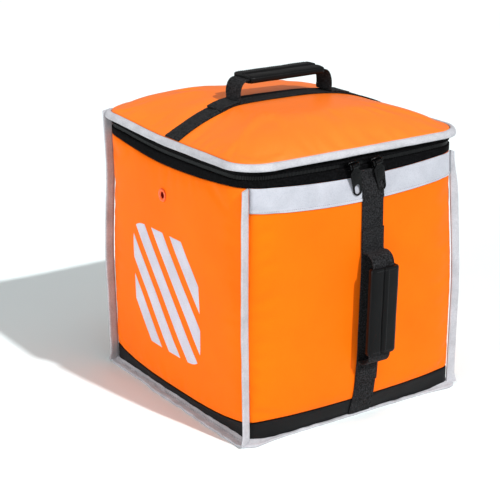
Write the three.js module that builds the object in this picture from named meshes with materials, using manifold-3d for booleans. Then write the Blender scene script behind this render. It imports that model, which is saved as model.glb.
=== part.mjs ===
// An insulated cube backpack for carrying hot food: four padded side panels and a padded base sewn
// into a box with bound fin seams, a domed lid that a zip closes on three sides, webbing straps
// with two wrapped carrying handles, and two padded shoulder straps on the back.
// Millimetres, +Z up. The front carries the zip pulls and faces -Y, the wearer's back is at +Y,
// and the origin is the middle of the underside.
import * as THREE from "three";
import { mergeVertices } from "three/addons/utils/BufferGeometryUtils.js";
import Module from "manifold-3d";

const wasm = await Module();
wasm.setup();

const radians = THREE.MathUtils.degToRad;

// Driving dimensions of the padded box.
const WIDTH = 370;
const DEPTH = 381;
const WALL = 8;
const FLOOR = 7;
const BASE_HEIGHT = 32;
const ZIP_MIDDLE = 386;
const LOWER_TAPE = 13;
const UPPER_TAPE = 10;
const ZIP_LOW = ZIP_MIDDLE - LOWER_TAPE;
const LID_SEAT = ZIP_MIDDLE + UPPER_TAPE;
const LID_EDGE = 10;
const RIM_TOP = LID_SEAT + LID_EDGE;
const DOME = 36;
const DOME_LEAN = 0.18;
const TOP_FLARE = 4;

// How soft panels depart from flat ones.
const FRONT_BULGE = 12;
const SIDE_BULGE = 7;
const BACK_BULGE = 3;
const CROWN = 2.4;
const FRONT_BASE_SAG = 3;
const SIDE_BASE_SAG = 13;
const BASE_CROWN = 3;
const ZIP_SAG = 7;
const ZIP_MIDDLE_SAG = 2;

// Upright edges: tight at the floor, and round at the top, where the zip turns the corners. The
// seams run down the middle of each edge.
const EDGE_RADIUS = 12;
const LID_CORNER_RADIUS = 42;
const CORNER_OPENS_AT = 150;
const SEAM_ANGLE = radians(45);

// Clearances: between sewn pieces, over the base's curved rim, and where one fabric lies on another.
const GAP = 0.35;
const BASE_GAP = 0.6;
const LAY = 0.5;

// Seam bindings.
const FIN_LENGTH = 15;
const FIN_THICKNESS = 3.6;
const FIN_ROUND = 1.2;
const FLOOR_FIN = 12;
const FRONT_FLOOR_FIN = 5;
const LID_FIN_REACH = 9;
const LID_FIN_DROP = 9;
const LID_FIN_THICKNESS = 4.6;

// Zip.
const COIL_HEIGHT = 6;
const COIL_RECESS = 2;
const COIL_DEPTH = 5;
const TAPE_DEPTH = 6;

// Webbing, handles and wraps.
const WEBBING = 38;
const WEBBING_THICKNESS = 2;
const STRIP_HEIGHT = 35;
const STRIP_THICKNESS = 1.5;
const STRIP_BLEND = 9;
const STRAP_X_TOP = 16;
const STRAP_X_FOOT = 8;
const STRAP_STRAIGHT_FROM = 230;
const TOP_STRAP_Y = -8;
const TOP_STRAP_LAY = 0.8;
const TOP_GRIP_LENGTH = 130;
const FRONT_GRIP_LENGTH = 122;
const GRIP_WIDTH = 48;
const GRIP_THICKNESS = 12;
const GRIP_SIDES = 12;
const GRIP_SQUARENESS = 0.45;
const GRIP_SLOT_HEIGHT = 5.1;
const GRIP_SLOT_WIDTH = 43;
const TOP_GRIP_LIFT = 33;
const TOP_HANDLE_X = -3;
const TOP_HANDLE_FOOT = 81;
const FRONT_GRIP_LIFT = 27;
const FRONT_HANDLE_MIDDLE = 174;
const FRONT_HANDLE_FOOT = 82;
const HANDLE_SEWN = 34;

// Zip sliders and their pulls.
const SLIDER_LEFT_X = -17;
const SLIDER_RIGHT_X = 23;
const SLIDER_LEFT_SKEW = radians(8);
const SLIDER_RIGHT_SKEW = radians(12);
const SLIDER_LENGTH = 17;
const SLIDER_HEIGHT = 13;
const SLIDER_THICKNESS = 4.6;
const LUG_LENGTH = 3;
const BAR_RADIUS = 1.4;
const EYE_CLEARANCE = 0.5;
const EYE_WALL = 1.6;
const EYE_END_CLEARANCE = 0.6;
const PULL_LENGTH = 43;
const NECK_DROP = 4;
const PULL_WIDTH_TOP = 18;
const PULL_WIDTH_FOOT = 14.5;
const PULL_THICKNESS = 2.6;
const PULL_RING_WALL = 2.4;
const PULL_SIDES = 12;
const PULL_RING_HEIGHT = 14;

// Vent eyelet, high on the left panel.
const EYELET_Y = 8;
const EYELET_DROP = 51;
const EYELET_Z = ZIP_LOW - EYELET_DROP;
const EYELET_OUTER = 20;
const EYELET_BORE = 11;
const EYELET_PROUD = 1.6;
const EYELET_ROUND = 1;
const EYELET_SIDES = 14;

// Shoulder straps, on the back.
const PAD_WIDTH = 62;
const PAD_FOOT_WIDTH = 44;
const PAD_THICKNESS = 13;
const PAD_TOP_X = 66;
const PAD_FOOT_X = 96;
const PAD_BOW = 50;
const TAIL_FOOT_X = 122;
const TAIL_WEBBING = 25;
const ADJUSTER_WIDTH = 36;
const ADJUSTER_HEIGHT = 24;
const ADJUSTER_THICKNESS = 9;
const TAIL_STRAIGHT = 12;

// Share of a panel's bulge at a share of the height from floor to lid seat.
const BULGE_PROFILE = [
  { height: 0, share: 0 },
  { height: 0.03, share: 0.4 },
  { height: 0.08, share: 0.78 },
  { height: 0.25, share: 1 },
  { height: 0.55, share: 1 },
  { height: 0.82, share: 0.85 },
  { height: 0.92, share: 0.62 },
  { height: 0.97, share: 0.36 },
  { height: 1, share: 0.08 },
];

// Share of the lid's rise, at a share of the way out from its middle to its rim.
const DOME_PROFILE = [
  { out: 0.35, rise: 1 },
  { out: 0.6, rise: 0.96 },
  { out: 0.72, rise: 0.86 },
  { out: 0.82, rise: 0.65 },
  { out: 0.91, rise: 0.36 },
  { out: 0.96, rise: 0.17 },
  { out: 1, rise: 0 },
];

const COLOURS = {
  orange: { color: 0xff7a16, roughness: 0.5, metalness: 0 },
  black: { color: 0x1c1d1f, roughness: 0.85, metalness: 0 },
  vinyl: { color: 0x17181a, roughness: 0.45, metalness: 0 },
  base: { color: 0x2b2c2d, roughness: 0.6, metalness: 0 },
  binding: { color: 0xcdced4, roughness: 0.75, metalness: 0 },
  reflective: { color: 0xcfd2dc, roughness: 0.45, metalness: 0 },
  metal: { color: 0x0d0d0e, roughness: 0.3, metalness: 0.6 },
  eyelet: { color: 0xf0612a, roughness: 0.35, metalness: 0 },
};

const group = new THREE.Group();

function add(name, geometry, finish) {
  const mesh = new THREE.Mesh(geometry, new THREE.MeshStandardMaterial(COLOURS[finish]));
  mesh.name = name;
  group.add(mesh);
  return mesh;
}

// Straight interpolation in a table with the columns `from` and `to`.
function lookUp(table, from, to, value) {
  const last = table[table.length - 1];
  if (value <= table[0][from]) return table[0][to];
  if (value >= last[from]) return last[to];
  const k = table.findIndex((row) => row[from] > value);
  const below = table[k - 1];
  const above = table[k];
  const share = (value - below[from]) / (above[from] - below[from]);
  return below[to] + share * (above[to] - below[to]);
}

// A geometry from corner points and triangles, wound so that its faces point out.
function body(points, triangles) {
  const volume = triangles.reduce((sum, [a, b, c]) => {
    return sum + points[a].dot(new THREE.Vector3().crossVectors(points[b], points[c]));
  }, 0);
  const wound = volume < 0 ? triangles.map(([a, b, c]) => [a, c, b]) : triangles;
  const geometry = new THREE.BufferGeometry().setFromPoints(points);
  geometry.setIndex(wound.flat());
  return geometry;
}

// Joins equal closed loops of points, one after another. `ends` is "ladder" for caps across a thin
// section, "fan" for caps to the loops' middles, or "ring" to join the last loop to the first.
function loft(loops, ends) {
  const count = loops[0].length;
  const points = loops.flat();
  const triangles = [];
  const quad = (a, b, c, d) => triangles.push([a, b, c], [a, c, d]);
  const spans = ends === "ring" ? loops.length : loops.length - 1;
  for (let i = 0; i < spans; i++) {
    const here = i * count;
    const next = ((i + 1) % loops.length) * count;
    for (let j = 0; j < count; j++) {
      const k = (j + 1) % count;
      quad(here + j, here + k, next + k, next + j);
    }
  }
  if (ends === "ladder") {
    const last = (loops.length - 1) * count;
    for (let j = 0; j < count / 2 - 1; j++) {
      const across = count - 1 - j;
      quad(across, across - 1, j + 1, j);
      quad(last + j, last + j + 1, last + across - 1, last + across);
    }
  }
  if (ends === "fan") {
    const last = (loops.length - 1) * count;
    const middle = (loop) => {
      const sum = loop.reduce((total, p) => total.add(p), new THREE.Vector3());
      return sum.divideScalar(loop.length);
    };
    points.push(middle(loops[0]), middle(loops[loops.length - 1]));
    const first = points.length - 2;
    for (let j = 0; j < count; j++) {
      const k = (j + 1) % count;
      triangles.push([first, k, j], [first + 1, last + j, last + k]);
    }
  }
  return body(points, triangles);
}

function solid(geometry) {
  const bare = new THREE.BufferGeometry();
  bare.setAttribute("position", geometry.getAttribute("position"));
  if (geometry.index) bare.setIndex(geometry.index);
  const merged = mergeVertices(bare, 1e-4);
  const mesh = new wasm.Mesh({
    numProp: 3,
    vertProperties: new Float32Array(merged.attributes.position.array),
    triVerts: new Uint32Array(merged.index.array),
  });
  return new wasm.Manifold(mesh);
}

function geometryOf(manifold) {
  const mesh = manifold.getMesh();
  const geometry = new THREE.BufferGeometry();
  geometry.setAttribute("position", new THREE.BufferAttribute(mesh.vertProperties, 3));
  geometry.setIndex(new THREE.BufferAttribute(mesh.triVerts, 1));
  return geometry;
}

// The box's four sides. `along` x up = `out` on each.
const front = {
  along: new THREE.Vector3(1, 0, 0),
  out: new THREE.Vector3(0, -1, 0),
  half: WIDTH / 2,
  reach: DEPTH / 2,
  bulge: FRONT_BULGE,
  floorFin: FRONT_FLOOR_FIN,
  baseSag: FRONT_BASE_SAG,
};
const right = {
  along: new THREE.Vector3(0, 1, 0),
  out: new THREE.Vector3(1, 0, 0),
  half: DEPTH / 2,
  reach: WIDTH / 2,
  bulge: SIDE_BULGE,
  floorFin: FLOOR_FIN,
  baseSag: SIDE_BASE_SAG,
};
const back = {
  along: new THREE.Vector3(-1, 0, 0),
  out: new THREE.Vector3(0, 1, 0),
  half: WIDTH / 2,
  reach: DEPTH / 2,
  bulge: BACK_BULGE,
  floorFin: FLOOR_FIN,
  baseSag: FRONT_BASE_SAG,
};
const left = {
  along: new THREE.Vector3(0, -1, 0),
  out: new THREE.Vector3(-1, 0, 0),
  half: DEPTH / 2,
  reach: WIDTH / 2,
  bulge: SIDE_BULGE,
  floorFin: FLOOR_FIN,
  baseSag: SIDE_BASE_SAG,
};
const UP = new THREE.Vector3(0, 0, 1);

function cornerRadius(z) {
  const opened = THREE.MathUtils.smoothstep(z, CORNER_OPENS_AT, LID_SEAT);
  return THREE.MathUtils.lerp(EDGE_RADIUS, LID_CORNER_RADIUS, opened);
}

// The box widens a little from the floor to the lid.
const flareAt = (z) => (TOP_FLARE * z) / LID_SEAT;

// Half of a side's straight stretch between its corner arcs.
function straightAt(side, z) {
  return side.half + flareAt(z) - cornerRadius(z);
}

// Where a side meets its seam, measured along the side from its middle.
function seamAt(side, z, out = 0) {
  return straightAt(side, z) + (cornerRadius(z) + out) * Math.sin(SEAM_ANGLE);
}

// How far a side's face lies from the box's middle plane, at `t` along it and height z, and the
// same for a layer `out` outside it, or inside it where `out` is negative.
function reachAt(side, t, z, out = 0) {
  const radius = cornerRadius(z) + out;
  const over = Math.max(0, Math.abs(t) - straightAt(side, z));
  const turned = radius - Math.sqrt(Math.max(0, radius * radius - over * over));
  const share = Math.min(1, Math.abs(t) / seamAt(side, z, out));
  const bulge = side.bulge * lookUp(BULGE_PROFILE, "height", "share", z / LID_SEAT);
  return side.reach + flareAt(z) + out - turned + bulge * (1 - share ** CROWN);
}

// A point of a side: `t` along it, at height z, `lift` straight out from its face.
function pointOn(side, t, z, lift = 0) {
  return new THREE.Vector3()
    .addScaledVector(side.along, t)
    .addScaledVector(side.out, reachAt(side, t, z) + lift)
    .addScaledVector(UP, z);
}

const ARC_SHARES = [0.5, 1];
const STRAIGHT_SHARES = [-1, -0.8, -0.55, -0.27, 0, 0.27, 0.55, 0.8, 1];

// The stations along a side from seam to seam: on its corner arcs by angle, between them by share.
const STATIONS = [
  ...[...ARC_SHARES].reverse().map((share) => ({ end: -1, angle: SEAM_ANGLE * share })),
  ...STRAIGHT_SHARES.map((share) => ({ share })),
  ...ARC_SHARES.map((share) => ({ end: 1, angle: SEAM_ANGLE * share })),
];
const INNER_STATIONS = STATIONS.slice(1, -1);

function stationT(side, station, z, out = 0) {
  const straight = straightAt(side, z);
  if (station.angle === undefined) return station.share * straight;
  return station.end * (straight + (cornerRadius(z) + out) * Math.sin(station.angle));
}

// The point of a layer at a station, `out` outside the side's face.
function layerPoint(side, station, z, out) {
  const t = stationT(side, station, z, out);
  return new THREE.Vector3()
    .addScaledVector(side.along, t)
    .addScaledVector(side.out, reachAt(side, t, z, out))
    .addScaledVector(UP, z);
}

// How far out a station lies, from 0 in the middle to 1 at the seam. It shapes sagging edges.
function stationShare(side, station) {
  return Math.abs(stationT(side, station, 0)) / seamAt(side, 0);
}

const sagged = (height, sag, crown = 2) => (share) => height - sag * (1 - share ** crown);
const baseTop = (side) => sagged(BASE_HEIGHT, side.baseSag, BASE_CROWN);
const zipLow = sagged(ZIP_LOW, ZIP_SAG);
const zipMiddle = sagged(ZIP_MIDDLE, ZIP_MIDDLE_SAG);
const lidSeat = () => LID_SEAT;

// A closed ring of points, one at each station of the four sides.
function ringOf(pointAt) {
  return [front, right, back, left].flatMap((side) =>
    STATIONS.slice(0, -1).map((station) => pointAt(side, station)),
  );
}

// A stretch of wall: its closed section at one station, outer face up and inner face down.
function wallSection(side, station, low, high, levels, layers) {
  const share = stationShare(side, station);
  const heights = levels.map((k) => THREE.MathUtils.lerp(low(share), high(share), k));
  const face = (out) => heights.map((z) => layerPoint(side, station, z, out));
  return [...face(layers[0]), ...face(layers[1]).reverse()];
}

const PANEL_LEVELS = [0, 0.07, 0.22, 0.5, 0.72, 0.83, 0.9, 0.96, 1];

// A padded panel from its lower edge to its upper one, its ends drawn back from the seams.
function panel(side, high) {
  const low = (share) => baseTop(side)(share) + BASE_GAP;
  const top = (share) => high(share) - GAP;
  const loops = STATIONS.map((station) =>
    wallSection(side, station, low, top, PANEL_LEVELS, [0, -WALL]),
  );
  const drawBack = (loop, direction) =>
    loop.forEach((p) => p.addScaledVector(side.along, GAP * direction));
  drawBack(loops[0], 1);
  drawBack(loops[loops.length - 1], -1);
  return loft(loops, "ladder");
}

function panels() {
  add("front_panel", panel(front, zipLow), "orange");
  add("right_panel", panel(right, zipLow), "orange");
  add("back_panel", panel(back, lidSeat), "orange");
  const pierced = solid(panel(left, zipLow)).subtract(solid(eyeletBore(EYELET_BORE / 2 + GAP)));
  add("left_panel", geometryOf(pierced), "orange");
}

// A round bar along X, centred on a point.
function roundBar(radius, length, centre, sides) {
  const bar = new THREE.CylinderGeometry(radius, radius, length, sides);
  bar.rotateZ(Math.PI / 2);
  bar.translate(centre.x, centre.y, centre.z);
  return bar;
}

const EYELET_FACE = reachAt(left, -EYELET_Y, EYELET_Z);

function eyeletBore(radius) {
  const middle = new THREE.Vector3(WALL / 2 - EYELET_FACE, EYELET_Y, EYELET_Z);
  return roundBar(radius, WALL * 3, middle, EYELET_SIDES);
}

// A collar through the panel with a rounded flange on its outer face.
function eyelet() {
  const face = EYELET_FACE + LAY;
  const profile = [
    { radius: EYELET_BORE / 2 - EYELET_ROUND, depth: WALL },
    { radius: EYELET_BORE / 2, depth: WALL },
    { radius: EYELET_BORE / 2, depth: 0 },
    { radius: EYELET_OUTER / 2, depth: 0 },
    { radius: EYELET_OUTER / 2 - EYELET_ROUND, depth: -EYELET_PROUD },
    { radius: EYELET_BORE / 2 + EYELET_ROUND, depth: -EYELET_PROUD },
    { radius: EYELET_BORE / 2 - EYELET_ROUND, depth: -EYELET_PROUD / 2 },
  ];
  const loops = Array.from({ length: EYELET_SIDES }, (_, i) => {
    const angle = (i / EYELET_SIDES) * 2 * Math.PI;
    return profile.map(({ radius, depth }) => {
      const up = EYELET_Z + radius * Math.sin(angle);
      return new THREE.Vector3(depth - face, EYELET_Y + radius * Math.cos(angle), up);
    });
  });
  add("vent_eyelet", loft(loops, "ring"), "eyelet");
}

// The base: a padded tray whose rim meets the panels.
function base() {
  const level = (z, out) => ringOf((side, station) => layerPoint(side, station, z, out));
  const rim = (out) =>
    ringOf((side, station) =>
      layerPoint(side, station, baseTop(side)(stationShare(side, station)), out),
    );
  const outer = [0, FIN_THICKNESS, BASE_HEIGHT * 0.4].map((z) => level(z, 0));
  const inner = [rim(-WALL), level(FLOOR, -WALL)];
  add("base_tray", loft([...outer, rim(0), ...inner], "fan"), "base");
}

// How far the base's bound seam stands out at a station: in full only near the corners.
function floorFinAt(side, station) {
  return THREE.MathUtils.lerp(side.floorFin, FLOOR_FIN, stationShare(side, station) ** 6);
}

// The base's bound seam, lying on the floor.
function floorBinding() {
  const top = FIN_THICKNESS;
  const section = [
    { fin: 0, out: LAY, height: 0 },
    { fin: 1, out: -FIN_ROUND, height: 0 },
    { fin: 1, out: 0, height: FIN_ROUND },
    { fin: 1, out: 0, height: top - FIN_ROUND },
    { fin: 1, out: -FIN_ROUND, height: top },
    { fin: 0, out: LAY, height: top },
  ];
  const rings = section.map(({ fin, out, height }) =>
    ringOf((side, station) =>
      layerPoint(side, station, height, fin * floorFinAt(side, station) + out),
    ),
  );
  add("floor_binding", loft(rings, "ring"), "binding");
}

const FIN_LEVELS = [0, 0.2, 0.45, 0.7, 0.8, 0.88, 0.94, 1];

// The bound seam of one upright edge. It stands off the box sideways, in line with the front and
// back panels, so that the side panels turn in behind it.
function uprightBinding(name, signX, signY, high) {
  const side = signX < 0 ? left : right;
  const end = signY * side.along.y;
  const section = [
    { along: LAY, through: 0 },
    { along: FIN_LENGTH - FIN_ROUND, through: 0 },
    { along: FIN_LENGTH, through: FIN_ROUND },
    { along: FIN_LENGTH, through: FIN_THICKNESS - FIN_ROUND },
    { along: FIN_LENGTH - FIN_ROUND, through: FIN_THICKNESS },
    { along: LAY, through: FIN_THICKNESS },
  ];
  const loops = FIN_LEVELS.map((share) => {
    const z = THREE.MathUtils.lerp(FIN_THICKNESS + GAP, high, share);
    const seam = pointOn(side, end * seamAt(side, z), z);
    return section.map(({ along, through }) =>
      seam.clone().add(new THREE.Vector3(signX * along, signY * through, 0)),
    );
  });
  add(name, loft(loops, "ladder"), "binding");
}

function uprightBindings() {
  uprightBinding("edge_binding_front_left", -1, -1, ZIP_LOW);
  uprightBinding("edge_binding_front_right", 1, -1, ZIP_LOW);
  uprightBinding("edge_binding_back_left", -1, 1, LID_SEAT + LID_EDGE);
  uprightBinding("edge_binding_back_right", 1, 1, LID_SEAT + LID_EDGE);
}

// A piece that runs from the back-left seam round the front to the back-right one, and stops
// short of the bindings of those seams.
function roundTheFront(sectionAt) {
  const last = { end: 1, angle: SEAM_ANGLE - (GAP + LAY) / EDGE_RADIUS };
  const loops = [
    sectionAt(left, { ...last, end: -1 }),
    ...INNER_STATIONS.map((station) => sectionAt(left, station)),
    ...STATIONS.map((station) => sectionAt(front, station)),
    ...INNER_STATIONS.map((station) => sectionAt(right, station)),
    sectionAt(right, last),
  ];
  const limit = seamAt(right, LID_SEAT) - GAP;
  loops.flat().forEach((p) => (p.y = Math.min(p.y, limit)));
  return loft(loops, "ladder");
}

function zipBand(low, high, layers) {
  return roundTheFront((side, station) =>
    wallSection(side, station, low, high, [0, 0.5, 1], layers),
  );
}

// The lid's bound seam, which leans out over the zip.
function lidBinding() {
  const top = RIM_TOP;
  const tip = top - LID_FIN_DROP;
  const section = [
    { out: GAP, height: top },
    { out: LID_FIN_REACH * 0.55, height: top - FIN_ROUND },
    { out: LID_FIN_REACH, height: tip + FIN_ROUND },
    { out: LID_FIN_REACH, height: tip },
    { out: LID_FIN_REACH - LID_FIN_THICKNESS, height: tip },
    { out: GAP, height: top - LID_FIN_THICKNESS - FIN_ROUND },
  ];
  const sectionAt = (side, station) =>
    section.map(({ out, height }) => layerPoint(side, station, LID_SEAT, out).setZ(height));
  add("lid_binding", roundTheFront(sectionAt), "binding");
}

function zip() {
  const coilLow = (share) => zipMiddle(share) - COIL_HEIGHT / 2;
  const coilHigh = (share) => zipMiddle(share) + COIL_HEIGHT / 2;
  const tape = [0, -TAPE_DEPTH];
  const coil = [-COIL_RECESS, -COIL_RECESS - COIL_DEPTH];
  add("zip_tape_lower", zipBand(zipLow, (s) => coilLow(s) - GAP, tape), "black");
  add("zip_coil", zipBand(coilLow, coilHigh, coil), "black");
  add("zip_tape_upper", zipBand((s) => coilHigh(s) + GAP, (s) => lidSeat(s) - GAP, tape), "black");
}

// The dome's rise at a place of the lid. It is fuller to the left than to the right.
function domeRise(rise, x) {
  return DOME * rise * (1 - (DOME_LEAN * x) / right.reach);
}

// The lid's outer face at a point of the plan that isn't near a corner, `lift` above it.
function lidPoint(x, y, lift) {
  const rim = [right, front].map((side) => reachAt(side, 0, LID_SEAT));
  const out = Math.max(Math.abs(x) / rim[0], Math.abs(y) / rim[1]);
  const rise = domeRise(lookUp(DOME_PROFILE, "out", "rise", out), x);
  return new THREE.Vector3(x, y, RIM_TOP + rise + lift);
}

// The padded lid: a dome outside, the same dome one wall lower inside, and a flat seat at the rim.
function lid() {
  const ring = (share, rise, out, foot) =>
    ringOf((side, station) => {
      const point = layerPoint(side, station, LID_SEAT, out).multiplyScalar(share);
      return point.setZ(foot + domeRise(rise, point.x));
    });
  const dome = (out, foot) => DOME_PROFILE.map((row) => ring(row.out, row.rise, out, foot));
  const below = dome(-WALL, LID_SEAT).reverse();
  add("lid", loft([...dome(0, RIM_TOP), ring(1, 0, 0, LID_SEAT), ...below], "fan"), "orange");
}

// Webbing laid on a surface: `edgePoint(k, side, lift)` gives its two edges at each step.
function laidWebbing(steps, edgePoint, lay, thickness) {
  const loops = steps.map((k) => [
    edgePoint(k, -1, lay),
    edgePoint(k, 1, lay),
    edgePoint(k, 1, lay + thickness),
    edgePoint(k, -1, lay + thickness),
  ]);
  return loft(loops, "ladder");
}

function evenSteps(low, high, count) {
  return Array.from({ length: count + 1 }, (_, k) => low + ((high - low) * k) / count);
}

// The reflective strip is sewn over the front panel, just below the zip.
const stripLow = (share) => zipLow(share) - STRIP_HEIGHT;

function reflectiveStrip() {
  const last = { end: 1, angle: SEAM_ANGLE - LAY / EDGE_RADIUS };
  const stations = [{ ...last, end: -1 }, ...INNER_STATIONS, last];
  const loops = stations.map((station) => {
    const share = stationShare(front, station);
    const heights = [0, 0.5, 1].map((k) =>
      THREE.MathUtils.lerp(stripLow(share), zipLow(share) - GAP, k),
    );
    const face = (lift) =>
      heights.map((z) => pointOn(front, stationT(front, station, z), z, lift));
    return [...face(LAY + STRIP_THICKNESS), ...face(LAY).reverse()];
  });
  add("reflective_strip", loft(loops, "ladder"), "reflective");
}

// The layer under the front strap stands proud where the strip is, with a soft step at its edge.
function frontLay(z) {
  const low = stripLow(0);
  const step = THREE.MathUtils.smoothstep(z, low - STRIP_BLEND, low);
  const done = THREE.MathUtils.smoothstep(z, ZIP_LOW, ZIP_LOW + STRIP_BLEND / 2);
  return LAY + (STRIP_THICKNESS + LAY) * step * (1 - done);
}

function strapX(z) {
  const share = Math.min(1, z / STRAP_STRAIGHT_FROM);
  return THREE.MathUtils.lerp(STRAP_X_FOOT, STRAP_X_TOP, share);
}

const SLIDER_DROP = (SLIDER_HEIGHT + SLIDER_LENGTH * Math.sin(SLIDER_RIGHT_SKEW)) / 2;
const STRAP_TOP = zipMiddle(0) - SLIDER_DROP - LAY;
const STRAP_STEPS = [
  ...evenSteps(FIN_THICKNESS + LAY, BASE_HEIGHT, 3),
  ...evenSteps(BASE_HEIGHT * 1.5, stripLow(0) - STRIP_BLEND, 7),
  ...evenSteps(stripLow(0), STRAP_TOP, 5),
];

function frontStrap() {
  const edge = (z, side, lift) =>
    pointOn(front, strapX(z) + (side * WEBBING) / 2, z, lift + frontLay(z) - LAY);
  add("front_strap", laidWebbing(STRAP_STEPS, edge, LAY, WEBBING_THICKNESS), "black");
}

// Rim to rim over the dome. The strap's ends are caught in the lid's bound seam.
const TOP_STRAP_SHARES = [0.985, 0.96, 0.91, 0.82, 0.72, 0.6, 0.35, 0.12];

function topStrap() {
  const shares = [...TOP_STRAP_SHARES.map((k) => -k), ...[...TOP_STRAP_SHARES].reverse()];
  const steps = shares.map((k) => k * reachAt(right, 0, LID_SEAT));
  const edge = (x, side, lift) => lidPoint(x, TOP_STRAP_Y - (side * WEBBING) / 2, lift);
  add("top_strap", laidWebbing(steps, edge, TOP_STRAP_LAY, WEBBING_THICKNESS), "black");
}

// The route of a carrying handle in its own plane, for half of its length: `run` is the share of
// the way from the grip's end to the foot, and `lift` the share of the grip's own lift.
const HANDLE_ROUTE = [
  { run: 0.5, lift: 0.95 },
  { run: 0.8, lift: 0.8 },
  { run: 1, lift: 0.52 },
  { run: 1.03, lift: 0.27 },
  { run: 0.99, lift: 0.1 },
  { run: 1.06, lift: 0.02 },
];

// A band along a list of points, its width along `across` as far as its heading lets it.
// `sectionAt` gives the section's points, as `wide` and `thick`, at a share of the length.
function band(path, across, sectionAt) {
  const loops = path.map((point, i) => {
    const before = path[Math.max(0, i - 1)];
    const after = path[Math.min(path.length - 1, i + 1)];
    const heading = after.clone().sub(before).normalize();
    const normal = new THREE.Vector3().crossVectors(heading, across).normalize();
    const sideways = new THREE.Vector3().crossVectors(normal, heading);
    return sectionAt(i / (path.length - 1)).map(({ wide, thick }) =>
      point.clone().addScaledVector(sideways, wide).addScaledVector(normal, thick),
    );
  });
  return loft(loops, "ladder");
}

function webbing(path, across, width) {
  const half = width / 2;
  const thick = WEBBING_THICKNESS / 2;
  return band(path, across, () => [
    { wide: -half, thick: -thick },
    { wide: half, thick: -thick },
    { wide: half, thick },
    { wide: -half, thick },
  ]);
}

// A rounded oblong of `sides` points; the smaller `squareness`, the squarer it is.
function oblong(sides, width, thickness, squareness) {
  const flat = (value) => Math.sign(value) * Math.abs(value) ** squareness;
  return Array.from({ length: sides }, (_, i) => {
    const angle = ((i + 0.5) / sides) * 2 * Math.PI;
    return {
      wide: (flat(Math.cos(angle)) * width) / 2,
      thick: (flat(Math.sin(angle)) * thickness) / 2,
    };
  });
}

// A handle's wrap: a flattened sleeve along `along`, with a slot for the webbing inside it.
function grip(middle, along, across, length) {
  const through = new THREE.Vector3().crossVectors(along, across);
  const loop = (at, width, thickness) =>
    oblong(GRIP_SIDES, width, thickness, GRIP_SQUARENESS).map(({ wide, thick }) =>
      middle
        .clone()
        .addScaledVector(along, at)
        .addScaledVector(across, wide)
        .addScaledVector(through, thick),
    );
  const ends = [-length / 2, length / 2];
  const outer = ends.map((at) => loop(at, GRIP_WIDTH, GRIP_THICKNESS));
  const inner = ends.map((at) => loop(at, GRIP_SLOT_WIDTH, GRIP_SLOT_HEIGHT));
  return loft([...outer, ...inner.reverse()], "ring");
}

// Both halves of a handle's route, from one sewn foot to the other: run from the middle, and lift.
function handleRoute(foot, gripLength) {
  const gripEnd = gripLength / 2;
  const within = [0.5, 1].map((share) => ({ run: gripEnd * share, lift: 1 }));
  const free = HANDLE_ROUTE.map((row) => ({
    run: THREE.MathUtils.lerp(gripEnd, foot, row.run),
    lift: row.lift,
  }));
  const sewn = [0.33, 0.67, 1].map((share) => ({ run: foot + HANDLE_SEWN * share, lift: 0 }));
  const half = [...within, ...free, ...sewn];
  const other = half.map((row) => ({ run: -row.run, lift: row.lift })).reverse();
  return [...other, ...half];
}

const HANDLE_POINTS = 40;

function smoothPath(points) {
  const curve = new THREE.CatmullRomCurve3(points, false, "centripetal");
  return curve.getPoints(HANDLE_POINTS);
}

function topHandle() {
  const across = new THREE.Vector3(0, 1, 0);
  const sewnLift = TOP_STRAP_LAY + WEBBING_THICKNESS * 1.5 + LAY;
  const gripZ = RIM_TOP + DOME + sewnLift + TOP_GRIP_LIFT;
  const points = handleRoute(TOP_HANDLE_FOOT, TOP_GRIP_LENGTH).map(({ run, lift }) => {
    const laid = lidPoint(TOP_HANDLE_X + run, TOP_STRAP_Y, sewnLift);
    return laid.setZ(THREE.MathUtils.lerp(laid.z, gripZ, lift));
  });
  add("top_handle_webbing", webbing(smoothPath(points), across, WEBBING), "black");
  const middle = new THREE.Vector3(TOP_HANDLE_X, TOP_STRAP_Y, gripZ);
  const along = new THREE.Vector3(1, 0, 0);
  add("top_handle_grip", grip(middle, along, across, TOP_GRIP_LENGTH), "vinyl");
}

function frontHandle() {
  const across = new THREE.Vector3(1, 0, 0);
  const sewnLift = (z) => frontLay(z) + WEBBING_THICKNESS * 1.5 + LAY;
  const middleX = strapX(FRONT_HANDLE_MIDDLE);
  const gripReach =
    reachAt(front, middleX, FRONT_HANDLE_MIDDLE) + sewnLift(FRONT_HANDLE_MIDDLE) + FRONT_GRIP_LIFT;
  const points = handleRoute(FRONT_HANDLE_FOOT, FRONT_GRIP_LENGTH).map(({ run, lift }) => {
    const z = FRONT_HANDLE_MIDDLE + run;
    const x = strapX(z);
    const laid = reachAt(front, x, z) + sewnLift(z);
    return new THREE.Vector3(x, -THREE.MathUtils.lerp(laid, gripReach, lift), z);
  });
  add("front_handle_webbing", webbing(smoothPath(points), across, WEBBING), "black");
  const half = FRONT_GRIP_LENGTH / 2;
  const lean = strapX(FRONT_HANDLE_MIDDLE + half) - strapX(FRONT_HANDLE_MIDDLE - half);
  const along = new THREE.Vector3(lean, 0, FRONT_GRIP_LENGTH).normalize();
  const middle = new THREE.Vector3(middleX, -gripReach, FRONT_HANDLE_MIDDLE);
  add("front_handle_grip", grip(middle, along, across, FRONT_GRIP_LENGTH), "vinyl");
}

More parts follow.
